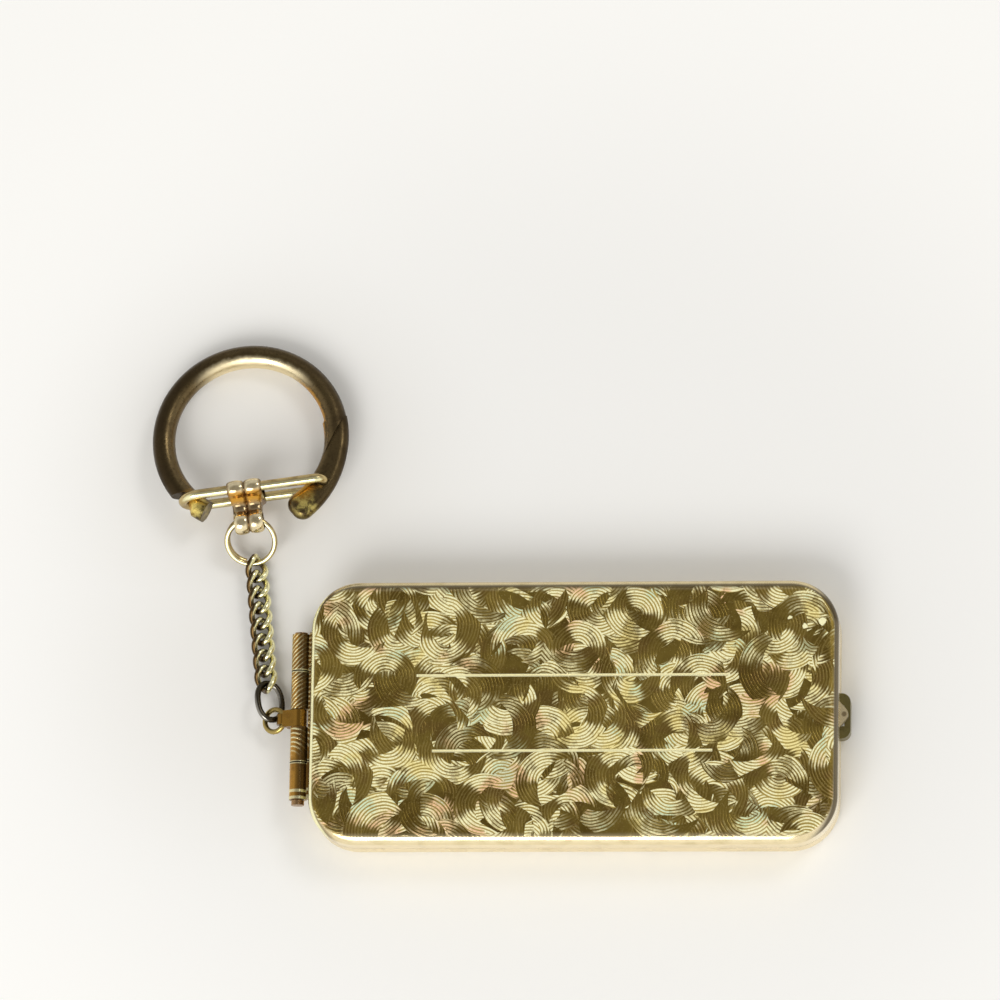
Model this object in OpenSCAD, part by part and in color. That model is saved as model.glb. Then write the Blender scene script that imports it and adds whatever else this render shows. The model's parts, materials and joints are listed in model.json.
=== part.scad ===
// Hinged metal case for embossed address plates, with a curb chain and a gated key hoop.
// Millimetres. Origin: centre of the base's flat underside. X: along the case, hinge on the
// -X end and push button on the +X end. Y: across the case. Z: up.

/* [Case] */
// Outside length of the case
case_l = 65.4; // [58:0.1:76]
// Outside width of the case
case_w = 33; // [29:0.1:40]
// Thickness of the closed case
case_h = 7; // [6.8:0.1:9]
// Thickness of the sheet that both shells are drawn from
wall = 0.4; // [0.3:0.02:0.5]
// Plan radius of the case corners
corner_r = 6; // [4:0.1:8]
// Radius of the rolled edge round the lid's top and the base's underside
edge_r = 1.2; // [0.8:0.05:1.5]
// Height of the line where the lid meets the base
part_z = 3.6; // [3.5:0.05:4]
// Gap between the two rims
rim_gap = 0.06; // [0.04:0.01:0.12]

/* [Lid panel lines] */
// Distance of the upper line from the middle of the lid
line_upper_y = 4.54; // [3:0.02:7]
// Length of the upper line
line_upper_l = 38.4; // [20:0.2:44]
// Distance of the lower line from the middle of the lid
line_lower_y = 4.92; // [3:0.02:7]
// Length of the lower line
line_lower_l = 34.4; // [20:0.2:44]
// Width of the cut
line_w = 0.22; // [0.15:0.01:0.35]
// Depth of the cut
line_depth = 0.08; // [0.05:0.01:0.15]

/* [Hinge] */
// Distance of the pin's axis from the end wall
pin_offset = 1.6; // [1.5:0.05:2]
// Outside diameter of the rolled knuckles
barrel_d = 2.2; // [2:0.05:2.4]
// Diameter of the hinge pin
pin_d = 1.1; // [0.9:0.05:1.3]
// Length over the lid's two knuckles
hinge_l = 20.8; // [17:0.1:24]
// Length over the base's two knuckles
base_knuckles_l = 11.4; // [9:0.1:13]
// Thickness of the hinge leaves
leaf_t = 0.3; // [0.2:0.02:0.4]
// Height of a leaf on the end wall
leaf_h = 1.7; // [1.2:0.05:2]
// Diameter of the pin's upset head
pin_head_d = 1.6; // [1.4:0.05:2]
// Length of the pin's head
pin_head_l = 0.6; // [0.3:0.05:0.8]
// Length of the pin's peened end
pin_end_l = 0.15; // [0.1:0.05:0.3]

/* [Latch] */
// Width of the push button
button_w = 5.66; // [5:0.02:6.4]
// Height of the push button
button_h = 1.9; // [1.6:0.05:2]
// How far the button stands out of the end wall
button_out = 1.3; // [1:0.05:1.6]
// Travel of the push button
button_travel = 0.5; // [0.3:0.05:0.55]
// Width of the lid's thumb lip
lip_w = 4.4; // [3:0.1:5.4]
// How far the thumb lip stands out of the end wall
lip_out = 1.1; // [0.6:0.05:1.4]
// Height of the thumb lip
lip_h = 0.9; // [0.6:0.05:1.2]
// Length of the leaf spring across the end wall
spring_l = 19; // [17:0.2:20]
// Thickness of the leaf spring
spring_t = 0.2; // [0.15:0.01:0.22]
// Width of the lid's catch
catch_w = 2; // [1.6:0.05:2.2]

/* [Strap and connecting rings] */
// Width of the brass strap on the hinge pin
strap_w = 2.1; // [1.8:0.02:2.6]
// Thickness of the strap's sheet
strap_t = 0.3; // [0.25:0.01:0.34]
// Distance from the hinge pin to the strap's eye
strap_l = 2.25; // [2.1:0.05:2.6]
// Inside diameter of the strap's eye
strap_eye_d = 1.06; // [1.02:0.01:1.2]
// Width of the strap at its eye
strap_eye_w = 1.3; // [1:0.05:1.5]
// Slope of the strap below level
strap_droop = 20; // [12:1:26]
// Outside diameter of the jump ring
jump_od = 3.45; // [3.3:0.05:3.9]
// Wire diameter of the jump ring
jump_wire = 0.65; // [0.5:0.01:0.68]
// Slope of the jump ring below level
jump_tilt = 25; // [20:1:30]
// Outside length of the oval link
oval_l = 5.65; // [5.2:0.05:6.4]
// Outside width of the oval link
oval_w = 4; // [3.6:0.05:4.4]
// Wire diameter of the oval link
oval_wire = 0.76; // [0.6:0.01:0.8]

/* [Curb chain] */
// Outside length of a curb link
link_l = 3.8; // [3.6:0.01:3.9]
// Outside width of a curb link before it is twisted
link_w = 3; // [2.8:0.02:3.1]
// Wire diameter of a curb link
link_wire = 0.82; // [0.7:0.01:0.84]
// Play along the chain between neighbouring links
link_slack = 0.13; // [0.1:0.01:0.2]
// Twist of each end of a link from its middle
link_twist = 54; // [50:1:56]

/* [Split ring] */
// Outside diameter of the split ring
split_od = 6.62; // [6.2:0.02:7.4]
// Wire diameter of the split ring
split_wire = 0.66; // [0.5:0.01:0.7]
// Turns of wire in the split ring
split_turns = 1.42; // [1.3:0.01:1.45]
// Slope of the split ring above level
split_tilt = 33.5; // [30:0.5:38]

/* [Clevis] */
// Distance between the bar and the clevis eye
clevis_l = 3.85; // [3.5:0.05:4.4]
// Width of the clevis along the bar
clevis_w = 4.3; // [3.8:0.05:4.6]
// Width of the clevis at its eye
clevis_eye_w = 3.6; // [3:0.05:3.7]
// Inside diameter of the clevis eye
clevis_eye_d = 2.1; // [1.9:0.02:2.2]
// Thickness of the clevis sheet
clevis_t = 0.42; // [0.35:0.01:0.44]
// Depth of the grooves between the clevis ribs
clevis_groove = 0.16; // [0.08:0.01:0.2]

/* [Gate bar] */
// Wire diameter of the hairpin bar
bar_wire = 1.2; // [1:0.02:1.24]
// Distance from the pivot to the far end of the hairpin
bar_reach = 18.4; // [18.3:0.02:18.5]
// Slope of the bar in the plane of the hoop
bar_slope = 7.8; // [7:0.1:9]
// Distance of the pivot from the middle of the clevis
bar_pivot_x = 9.86; // [9.6:0.02:10.2]

/* [Key hoop] */
// Radius of the hoop to the middle of its tube
hoop_r = 10.9; // [10.8:0.02:11]
// Diameter of the hoop's tube
hoop_tube = 2.84; // [2.6:0.02:2.86]
// Width of the hoop's flattened end where it leaves the tube
flat_w = 3; // [2.9:0.02:3.2]
// How much wider the flattened end is at its tip
flat_flare = 0.6; // [0.3:0.02:0.8]
// Thickness of the flattened end
flat_t = 2; // [1.8:0.02:2.2]
// Tilt of the hoop's plane to the table
hoop_tilt = 6.6; // [5:0.1:7]

/* [Hidden] */
$fn = 64;
LINKS = 8;

// Fits
run_gap = 0.05;
side_gap = 0.08;
eps = 0.01;

// Case
inner_x = case_l / 2 - wall;
pin_x = -(case_l / 2 + pin_offset);
pin_z = part_z;
leaf_x = -case_l / 2 - leaf_t;

// Latch, stacked inwards from the end wall
catch_t = 0.3;
catch_gap = 0.05;
catch_x = inner_x - catch_gap - catch_t;
foot_l = 0.24;
foot_t = 0.3;
catch_low_z = 1.9;
nose_gap = 0.1;
nose_t = 0.25;
spring_x = catch_x - foot_l - catch_gap - spring_t;
spring_h = 1.7;
spring_z = 1.25;
pad_l = 1.6;
ramp_l = 2.4;
rivet_d = 0.7;
button_z = part_z - 2.15;
button_r = 1.1;
button_skin = button_out - button_travel - run_gap;
leg_in = catch_w / 2 + 0.3;
leg_out = button_w / 2 - 0.25;
flange_out = button_w / 2 + 0.6;
window_gap = 0.06;

// Strap, jump ring and oval link
strap_y = -0.15;
strap_pin_r = pin_d / 2 + run_gap;
strap_sink = 0.04;
strap_eye_r = strap_eye_d / 2;
strap_eye = [pin_x - strap_l * cos(strap_droop), strap_y, pin_z - strap_l * sin(strap_droop)];
jump_r = (jump_od - jump_wire) / 2;
jump_seat = strap_eye_r - jump_wire / 2 - 0.1;
jump_c = strap_eye - (jump_r - jump_seat) * [cos(jump_tilt), 0, sin(jump_tilt)];
oval_a = (oval_l - oval_wire) / 2;
oval_b = (oval_w - oval_wire) / 2;
oval_roll = -32;
oval_lead = 8;
oval_fall = 11;
oval_end = jump_c + [-0.38, 0.12, 0.05];
oval_dir = direction(oval_lead, oval_fall);
oval_c = oval_end + oval_a * oval_dir;

// Curb chain
link_a = (link_l - link_wire) / 2;
link_b = (link_w - link_wire) / 2;
pitch = link_l - 2 * link_wire - link_slack;
link_square = 0.85;
first_roll = 12;
roll_step = -6;
chain_lead = 6.2;
chain_fall = 0.7;
chain_dir = direction(chain_lead, chain_fall);
hook_gap = 0.11;
oval_hook = link_a - (link_wire + oval_wire) / 2 - hook_gap;
split_hook = link_a - (link_wire + split_wire) / 2 - hook_gap;
chain_c = [for (k = [0:LINKS - 1])
    oval_end + 2 * oval_a * oval_dir + [-0.2, -0.04, 0.1] + (oval_hook + k * pitch) * chain_dir];

// Split ring: u runs up the ring's slope, n is its axis
split_r = (split_od - split_wire) / 2;
split_pitch = split_wire + 0.06;
split_side = 8;
split_start = -105;
split_u = [0, cos(split_tilt), sin(split_tilt)];
split_n = [0, -sin(split_tilt), cos(split_tilt)];
split_rise = ((split_start + 450 - split_side) / 360 - split_turns / 2) * split_pitch;
split_touch = chain_c[LINKS - 1] + split_hook * chain_dir - [0.1, 0, 0.05];
split_c = split_touch - split_r * sin(split_side) * [1, 0, 0] + split_r * cos(split_side) * split_u
    - split_rise * split_n;

// Clevis, bar and hoop
eye_r = clevis_eye_d / 2;
eye_seat = 0.46;
eye_c = split_c + (split_r - eye_seat) * split_u + [-0.08, 0, 0] + 0.08 * split_n;
leg_z = hoop_tube / 2 + bar_wire / 2 + 0.08;
bar_bore = bar_wire / 2 + 0.08;
hoop_x = [1, 0, 0];
hoop_y = [0, cos(hoop_tilt), -sin(hoop_tilt)];
bar_x = cos(bar_slope) * hoop_x + sin(bar_slope) * hoop_y;
bar_y = -sin(bar_slope) * hoop_x + cos(bar_slope) * hoop_y;
bar_c = eye_c + clevis_l * bar_y;
pivot_c = bar_c + bar_pivot_x * bar_x;
pivot_r = hoop_r + 0.3;
pivot_angle = -31.7;
hoop_c = pivot_c - pivot_r * (cos(pivot_angle) * hoop_x + sin(pivot_angle) * hoop_y);
bend_r = 0.95;
pivot_bore = bar_wire / 2 + run_gap;
hoop_end = 242;
hoop_lap = -22;
flat_start = -53;
flat_end = 13.5;
flare_shift = 1.63 * flat_flare;
flare_angle = 30;

// A level heading turned left of +Y by lead, falling by fall
function direction(lead, fall) = [-sin(lead) * cos(fall), cos(lead) * cos(fall), -sin(fall)];
function unit(v) = v / norm(v);
function wave(s, e) = sign(s) * pow(abs(s), e);

// Middle of a link's wire: y along the link, both ends twisted opposite ways
function loop_point(t, a, b, twist, square) =
    let (y = a * wave(cos(t), square), w = b * wave(sin(t), square), turn = -twist * y / a)
    [w * cos(turn), y, w * sin(turn)];

// Ring of points round p, square to the tangent, starting on the side away from the origin
function tube_ring(p, tangent, out, r, sides) =
    let (t = unit(tangent), n = unit(out - (out * t) * t), b = cross(t, n))
    [for (j = [0:sides - 1]) p + r * (cos(360 * j / sides) * n + sin(360 * j / sides) * b)];

function loop_rings(a, b, twist, square, r, rings, sides) =
    [for (i = [0:rings - 1])
        let (t = 360 * (i + 0.5) / rings, p = loop_point(t, a, b, twist, square),
             ahead = loop_point(t + 2, a, b, twist, square),
             back = loop_point(t - 2, a, b, twist, square))
        each tube_ring(p, ahead - back, p, r, sides)];

function side_faces(rings, sides, spans) =
    [for (i = [0:spans - 1], j = [0:sides - 1])
        let (k = (i + 1) % rings, m = (j + 1) % sides)
        each [[i * sides + j, k * sides + m, i * sides + m],
              [i * sides + j, k * sides + j, k * sides + m]]];

module wire_loop(a, b, twist, square, r, rings, sides) {
    polyhedron(points = loop_rings(a, b, twist, square, r, rings, sides),
               faces = side_faces(rings, sides, rings), convexity = 6);
}

// Open helical tube about z, one ring of points every step degrees, clockwise from start
module wire_coil(radius, wire_r, turns, rise, start, step, sides) {
    spans = ceil(turns * 360 / step);
    sweep = turns * 360 / spans;
    rings = spans + 1;
    mid = turns / 2;
    points = [for (i = [0:spans])
        let (done = i * sweep / 360, a = start - i * sweep,
             p = [radius * cos(a), radius * sin(a), (done - mid) * rise],
             t = [radius * sin(a), -radius * cos(a), rise / (2 * PI)])
        each tube_ring(p, t, [cos(a), sin(a), 0], wire_r, sides)];
    caps = [[for (j = [0:sides - 1]) j], [for (j = [sides - 1:-1:0]) spans * sides + j]];
    polyhedron(points = points, faces = concat(side_faces(rings, sides, spans), caps), convexity = 8);
}

module rounded_slab(l, w, h, r) {
    linear_extrude(h) {
        square([l - 2 * r, w], center = true);
        square([l, w - 2 * r], center = true);
        for (x = [-1, 1], y = [-1, 1])
            translate([x * (l / 2 - r), y * (w / 2 - r)]) circle(r);
    }
}

// Block with rounded plan corners and its lower edge rolled to radius e
module rolled_block(l, w, h, r, e) {
    translate([0, 0, e]) rounded_slab(l, w, h - e, r);
    rounded_slab(l - 2 * e, w - 2 * e, h, r - e);
    for (y = [-1, 1])
        translate([0, y * (w / 2 - e), e]) rotate([0, 90, 0]) cylinder(r = e, h = l - 2 * r, center = true);
    for (x = [-1, 1])
        translate([x * (l / 2 - e), 0, e]) rotate([90, 0, 0]) cylinder(r = e, h = w - 2 * r, center = true);
    for (x = [-1, 1], y = [-1, 1])
        translate([x * (l / 2 - r), y * (w / 2 - r), e])
            rotate_extrude() translate([r - e, 0]) circle(e);
}

module shell(h) {
    difference() {
        rolled_block(case_l, case_w, h, corner_r, edge_r);
        translate([0, 0, wall])
            rolled_block(case_l - 2 * wall, case_w - 2 * wall, h, corner_r - wall, edge_r - wall);
    }
}

module base_shell() {
    color("darkkhaki") difference() {
        shell(part_z - rim_gap / 2);
        translate([case_l / 2 - wall / 2, 0, button_z + button_h / 2])
            cube([4 * wall, button_w + 2 * window_gap, button_h + 2 * window_gap], center = true);
    }
}

module thumb_lip() {
    reach = lip_out + wall / 2;
    outline = [for (i = [0:16]) let (s = i / 8 - 1)
        [case_l / 2 - wall / 2 + reach * (1 + cos(180 * s)) / 2, s * lip_w / 2]];
    translate([0, 0, part_z + rim_gap / 2]) linear_extrude(lip_h) polygon(outline);
}

module lid_shell() {
    color("darkgoldenrod") difference() {
        union() {
            translate([0, 0, case_h]) mirror([0, 0, 1]) shell(case_h - part_z - rim_gap / 2);
            thumb_lip();
        }
        translate([0, line_upper_y, case_h]) cube([line_upper_l, line_w, 2 * line_depth], center = true);
        translate([0, -line_lower_y, case_h]) cube([line_lower_l, line_w, 2 * line_depth], center = true);
    }
}

module along_y(y0, y1) {
    translate([0, y1, 0]) rotate([90, 0, 0]) linear_extrude(y1 - y0) children();
}

// Knuckle rolled from a leaf that runs level from the barrel, then up (side 1) or down (side -1)
module knuckle(y0, y1, side) {
    difference() {
        union() {
            translate([pin_x, y0, pin_z]) rotate([-90, 0, 0]) cylinder(d = barrel_d, h = y1 - y0);
            web_z = pin_z + side * (side_gap + leaf_t / 2);
            translate([pin_x, y0, web_z - leaf_t / 2]) cube([leaf_x - pin_x + leaf_t, y1 - y0, leaf_t]);
        }
        translate([pin_x, y0 - 1, pin_z]) rotate([-90, 0, 0]) cylinder(d = pin_d + 2 * run_gap, h = y1 - y0 + 2);
    }
}

module leaf_plate(l, side) {
    z = side > 0 ? pin_z + side_gap : pin_z - side_gap - leaf_h;
    translate([leaf_x, -l / 2, z]) cube([leaf_t, l, leaf_h]);
}

module base_hinge_leaf() {
    color("goldenrod") {
        leaf_plate(base_knuckles_l, -1);
        knuckle(strap_y + strap_w / 2 + side_gap, base_knuckles_l / 2, -1);
        knuckle(-base_knuckles_l / 2, strap_y - strap_w / 2 - side_gap, -1);
    }
}

module lid_hinge_leaf() {
    color("goldenrod") {
        leaf_plate(hinge_l, 1);
        knuckle(base_knuckles_l / 2 + side_gap, hinge_l / 2, 1);
        knuckle(-hinge_l / 2, -base_knuckles_l / 2 - side_gap, 1);
    }
}

module hinge_pin() {
    color("darkgoldenrod") translate([pin_x, 0, pin_z]) rotate([90, 0, 0]) {
        cylinder(d = pin_d, h = hinge_l + 2 * side_gap + 2 * pin_end_l, center = true);
        translate([0, 0, hinge_l / 2 + side_gap]) cylinder(d = pin_head_d, h = pin_head_l);
        translate([0, 0, -hinge_l / 2 - side_gap - pin_end_l]) cylinder(d = pin_head_d, h = pin_end_l);
    }
}

// Plan of the push button: a D with rounded corners, its middle open behind the front skin
module button_plan() {
    front = case_l / 2 + button_out;
    difference() {
        union() {
            translate([inner_x - eps, -button_w / 2]) square([front - inner_x - button_r + eps, button_w]);
            translate([front - button_r - eps, -button_w / 2 + button_r])
                square([button_r + eps, button_w - 2 * button_r]);
            for (y = [-1, 1])
                translate([front - button_r, y * (button_w / 2 - button_r)]) circle(button_r);
        }
        translate([inner_x - 1, -leg_in])
            square([front - button_skin - inner_x + 1, 2 * leg_in]);
    }
}

module push_button() {
    color("dimgray") translate([0, 0, button_z]) {
        linear_extrude(button_h) button_plan();
        for (y = [-1, 1]) {
            translate([catch_x, y > 0 ? leg_in : -flange_out, -0.2])
                cube([catch_t, flange_out - leg_in, button_h + 0.1]);
            translate([spring_x + spring_t + run_gap, y > 0 ? leg_in : -leg_out, 0.2])
                cube([inner_x - spring_x - spring_t, leg_out - leg_in, button_h - 0.5]);
        }
    }
}

// Plan of the leaf spring: pads on the end wall, ramps, and a straight middle behind the button
module latch_spring() {
    half = spring_l / 2;
    flat = half - pad_l - ramp_l;
    back = inner_x - spring_t;
    nose_z = catch_low_z + foot_t + nose_gap;
    color("silver") {
        translate([0, 0, spring_z]) linear_extrude(spring_h) polygon([
            [inner_x, -half], [back, -half], [back, -half + pad_l], [spring_x, -flat],
            [spring_x, flat], [back, half - pad_l], [back, half], [inner_x, half],
            [inner_x, half - pad_l], [spring_x + spring_t, flat],
            [spring_x + spring_t, -flat], [inner_x, -half + pad_l]]);
        translate([spring_x, -catch_w / 2, nose_z])
            cube([catch_x - spring_x - catch_gap, catch_w, nose_t]);
    }
}

module spring_rivets() {
    color("silver") for (y = [-1, 1])
        translate([inner_x - spring_t - 0.2, y * (spring_l - pad_l) / 2, spring_z + spring_h / 2])
            rotate([0, 90, 0]) cylinder(d = rivet_d, h = 0.2);
}

module lid_catch() {
    high_z = case_h - edge_r - 0.4;
    seat_z = part_z + 0.3;
    color("silver") {
        translate([catch_x, -catch_w / 2, catch_low_z]) cube([catch_t, catch_w, high_z - catch_low_z]);
        translate([catch_x - foot_l, -catch_w / 2, catch_low_z]) cube([foot_l + eps, catch_w, foot_t]);
        translate([catch_x, -catch_w, seat_z]) cube([inner_x - catch_x, 2 * catch_w, high_z - seat_z]);
    }
}

// Half the height of the folded strap at x, seen along the pin
function strap_half(x) =
    strap_eye_r + strap_t - strap_sink + (strap_pin_r - strap_eye_r) * (x / strap_l + 1);

module strap_plate(w, x0) {
    along_y(-w / 2, w / 2)
        polygon([[x0, -strap_half(x0)], [0, -strap_half(0)], [0, strap_half(0)], [x0, strap_half(x0)]]);
}

module chain_strap() {
    color("goldenrod") translate([pin_x, strap_y, pin_z]) rotate([0, -strap_droop, 0])
        difference() {
            union() {
                along_y(-strap_w / 2, strap_w / 2) circle(strap_pin_r + strap_t);
                along_y(-strap_eye_w / 2, strap_eye_w / 2) translate([-strap_l, 0]) circle(strap_eye_r + strap_t);
                strap_plate(strap_w, -strap_l + strap_t);
                strap_plate(strap_eye_w, -strap_l);
            }
            along_y(-strap_w, strap_w) circle(strap_pin_r);
            along_y(-strap_w, strap_w) translate([-strap_l, 0]) circle(strap_eye_r);
            translate([-strap_l / 2, 0, 0])
                cube([strap_l - 2 * strap_eye_r + 0.1, 2 * strap_w, 0.12], center = true);
        }
}

module jump_ring() {
    color("gold") translate(jump_c) rotate([0, -jump_tilt, 0])
        rotate_extrude() translate([jump_r, 0]) circle(jump_wire / 2);
}

// Places a loop drawn along y at c, heading lead left of +Y, falling by fall, rolled about itself
module along_heading(c, lead, fall, roll) {
    translate(c) rotate([0, 0, lead]) rotate([-fall, 0, 0]) rotate([0, -roll, 0]) children();
}

module oval_link() {
    color("dimgray") along_heading(oval_c, oval_lead, oval_fall, oval_roll)
        wire_loop(oval_a, oval_b, 0, 0.9, oval_wire / 2, 36, 10);
}

module chain_link(k) {
    color("darkkhaki")
        along_heading(chain_c[k - 1], chain_lead, chain_fall, first_roll + (k - 1) * roll_step)
        wire_loop(link_a, link_b, link_twist, link_square, link_wire / 2, 30, 10);
}

module split_ring() {
    color("palegoldenrod") translate(split_c) rotate([split_tilt, 0, 0])
        wire_coil(split_r, split_wire / 2, split_turns, split_pitch, split_start, 10, 10);
}

// Places what is drawn in the bar's own axes: x along the bar, y towards the hoop, z through both legs
module in_bar_frame() {
    translate(bar_c) rotate([-hoop_tilt, 0, 0]) rotate([0, 0, bar_slope]) children();
}

module along_x(x0, x1) {
    translate([x0, 0, 0]) rotate([90, 0, 90]) linear_extrude(x1 - x0) children();
}

// Section of the clevis across the bar: round both legs, in at the waist, round the eye
module clevis_section(cut) {
    top_r = bar_bore + clevis_t - cut;
    eye_out = eye_r + clevis_t - cut;
    waist = 0.95 - cut;
    for (s = [-1, 1]) translate([0, s * leg_z]) circle(top_r);
    square([2 * top_r, 2 * leg_z], center = true);
    translate([-clevis_l, 0]) circle(eye_out);
    polygon([[0, leg_z], [-top_r * 0.8, leg_z], [-top_r - 0.3, waist + 0.7], [-top_r - 0.8, waist],
             [-clevis_l, waist], [-clevis_l, -waist], [-top_r - 0.8, -waist],
             [-top_r - 0.3, -waist - 0.7], [-top_r * 0.8, -leg_z], [0, -leg_z]]);
}

module clevis_hollow() {
    for (s = [-1, 1]) translate([0, s * leg_z]) circle(bar_bore);
    square([2 * bar_bore, 2 * leg_z], center = true);
    translate([-clevis_l, 0]) circle(eye_r);
}

// Plan of the clevis: full width on the bar, narrower from the waist to the eye
module clevis_plan(inset) {
    wide = clevis_w / 2 - inset;
    slim = clevis_eye_w / 2 - inset;
    polygon([[-wide, 3], [-wide, -0.7], [-slim, -1.7], [-slim, -clevis_l - 3],
             [slim, -clevis_l - 3], [slim, -1.7], [wide, -0.7], [wide, 3]]);
}

// Two ribs side by side, each raised in steps from the rim and the middle groove
module ring_clevis() {
    reach = clevis_w;
    steps = [[0, 1], [0.22, 0.4], [0.45, 0]];
    color("palegoldenrod") in_bar_frame() difference() {
        for (level = steps)
            intersection() {
                union() {
                    along_x(-reach, -level[0] + (level[0] > 0 ? 0 : eps)) clevis_section(level[1] * clevis_groove);
                    along_x(level[0], reach) clevis_section(level[1] * clevis_groove);
                }
                linear_extrude(20, center = true) clevis_plan(level[0]);
            }
        along_x(-reach, reach) clevis_hollow();
    }
}

module gate_bar() {
    loop_x = bar_pivot_x - bar_reach + bar_wire / 2 + leg_z;
    bend_x = bar_pivot_x - bend_r;
    stub_z = 0.3;
    color("khaki") in_bar_frame() {
        for (s = [-1, 1]) {
            translate([loop_x, 0, s * leg_z]) rotate([0, 90, 0]) cylinder(d = bar_wire, h = bend_x - loop_x);
            translate([bend_x, 0, s * (leg_z - bend_r)]) rotate([90, 0, 0]) rotate([0, 0, s > 0 ? 0 : -90])
                rotate_extrude(angle = 90) translate([bend_r, 0]) circle(d = bar_wire);
            translate([bar_pivot_x, 0, s > 0 ? stub_z : bend_r - leg_z])
                cylinder(d = bar_wire, h = leg_z - bend_r - stub_z);
        }
        translate([loop_x, 0, 0]) rotate([90, 0, 0]) rotate([0, 0, 90])
            rotate_extrude(angle = 180) translate([leg_z, 0]) circle(d = bar_wire);
    }
}

// Arc between two angles, its section drawn with x outwards
module arc(radius, a0, a1) {
    rotate([0, 0, a0]) rotate_extrude(angle = a1 - a0) translate([radius, 0]) children();
}

module flat_arm(radius, a0, a1) {
    arc(radius, a0, a1) flat_section();
    rotate([0, 0, a0]) translate([radius, 0, 0]) rotate_extrude() intersection() {
        flat_section();
        translate([0, -flat_t]) square([flat_w, 2 * flat_t]);
    }
}

module flat_section() {
    side = (flat_w - flat_t) / 2;
    for (s = [-1, 1]) translate([s * side, 0]) circle(d = flat_t);
    square([2 * side, flat_t], center = true);
}

// The space that the hairpin's closed end sweeps as the bar turns about its pivot
module gate_sweep() {
    clear = 0.06;
    arc_x = bar_reach - bar_wire / 2 - leg_z;
    translate(pivot_r * [cos(pivot_angle), sin(pivot_angle), 0]) rotate([0, 0, 180 + bar_slope - 2.6])
        rotate_extrude(angle = 60) difference() {
            translate([arc_x, -4]) square([8, 8]);
            translate([arc_x, 0]) circle(leg_z - bar_wire / 2 - clear);
        }
}

module key_hoop() {
    lap_out = (hoop_r + hoop_tube / 2) * [cos(flat_end), sin(flat_end)];
    lap_in = (hoop_r - hoop_tube / 2) * [cos(hoop_lap), sin(hoop_lap)];
    lap = lap_out - lap_in;
    flare_c = -flare_shift * [cos(flare_angle), sin(flare_angle)];
    flare_r = hoop_r + flare_shift * 0.786;
    color("olive") translate(hoop_c) rotate([-hoop_tilt, 0, 0]) difference() {
        union() {
            difference() {
                arc(hoop_r, hoop_lap - 8, hoop_end) circle(d = hoop_tube);
                translate([lap_in[0], lap_in[1], 0]) rotate([0, 0, atan2(lap[1], lap[0])])
                    translate([-4, -12, -4]) cube([14, 12, 8]);
            }
            flat_arm(hoop_r, flat_start, flat_end);
            translate([flare_c[0], flare_c[1], 0]) flat_arm(flare_r, flat_start + 5, flat_end);
        }
        gate_sweep();
        translate([pivot_r * cos(pivot_angle), pivot_r * sin(pivot_angle), 0])
            cylinder(r = pivot_bore, h = 3 * flat_t, center = true);
    }
}

base_shell();
lid_shell();
base_hinge_leaf();
lid_hinge_leaf();
hinge_pin();
push_button();
latch_spring();
spring_rivets();
lid_catch();
chain_strap();
jump_ring();
oval_link();
chain_link(1);  // chain_link_1
chain_link(2);  // chain_link_2
chain_link(3);  // chain_link_3
chain_link(4);  // chain_link_4
chain_link(5);  // chain_link_5
chain_link(6);  // chain_link_6
chain_link(7);  // chain_link_7
chain_link(8);  // chain_link_8
split_ring();
ring_clevis();
gate_bar();
key_hoop();
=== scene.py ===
"""Looks of a hinged gold-tone case for address plates, with a curb chain and a gated key hoop.

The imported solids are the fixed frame. This file dresses each of them, replaces the faceted chain
links, split ring and clevis with smooth ones, and sets up a pale table, soft light and the camera.
Sizes and places are in millimetres, except where a docstring says metres.
"""

import json
import logging
import math
from dataclasses import dataclass
from enum import Enum

import bpy
import numpy as np
from mathutils import Matrix, Vector
from mathutils.geometry import tessellate_polygon

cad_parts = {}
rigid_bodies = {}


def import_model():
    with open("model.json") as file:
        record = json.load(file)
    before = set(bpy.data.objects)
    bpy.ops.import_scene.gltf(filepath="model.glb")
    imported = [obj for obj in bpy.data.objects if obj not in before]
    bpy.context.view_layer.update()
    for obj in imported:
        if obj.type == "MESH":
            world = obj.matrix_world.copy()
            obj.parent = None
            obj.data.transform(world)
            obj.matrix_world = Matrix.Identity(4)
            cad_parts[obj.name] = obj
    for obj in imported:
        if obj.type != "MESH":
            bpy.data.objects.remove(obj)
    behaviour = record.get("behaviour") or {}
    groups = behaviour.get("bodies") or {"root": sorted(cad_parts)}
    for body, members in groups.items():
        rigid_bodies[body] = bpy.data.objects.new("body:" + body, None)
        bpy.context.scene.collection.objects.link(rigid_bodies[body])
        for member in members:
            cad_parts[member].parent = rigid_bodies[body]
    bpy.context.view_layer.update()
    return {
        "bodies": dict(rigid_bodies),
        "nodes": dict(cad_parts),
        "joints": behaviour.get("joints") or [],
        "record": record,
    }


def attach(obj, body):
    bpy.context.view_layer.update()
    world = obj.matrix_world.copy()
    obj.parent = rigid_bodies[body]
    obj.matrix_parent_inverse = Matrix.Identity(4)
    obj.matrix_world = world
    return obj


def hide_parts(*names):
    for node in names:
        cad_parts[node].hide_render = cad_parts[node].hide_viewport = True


LOG = logging.getLogger("charge_plate_holder")
MM = 0.001

Triple = tuple[float, float, float]
Socket = bpy.types.NodeSocket


def srgb(*display: float) -> Triple:
    """Linear colour of 0-255 display values.

    Args:
        *display: Display red, green and blue.

    Returns:
        The linear red, green and blue.
    """
    shares = [value / 255.0 for value in display]
    return tuple(c / 12.92 if c <= 0.04045 else ((c + 0.055) / 1.055) ** 2.4 for c in shares)


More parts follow.
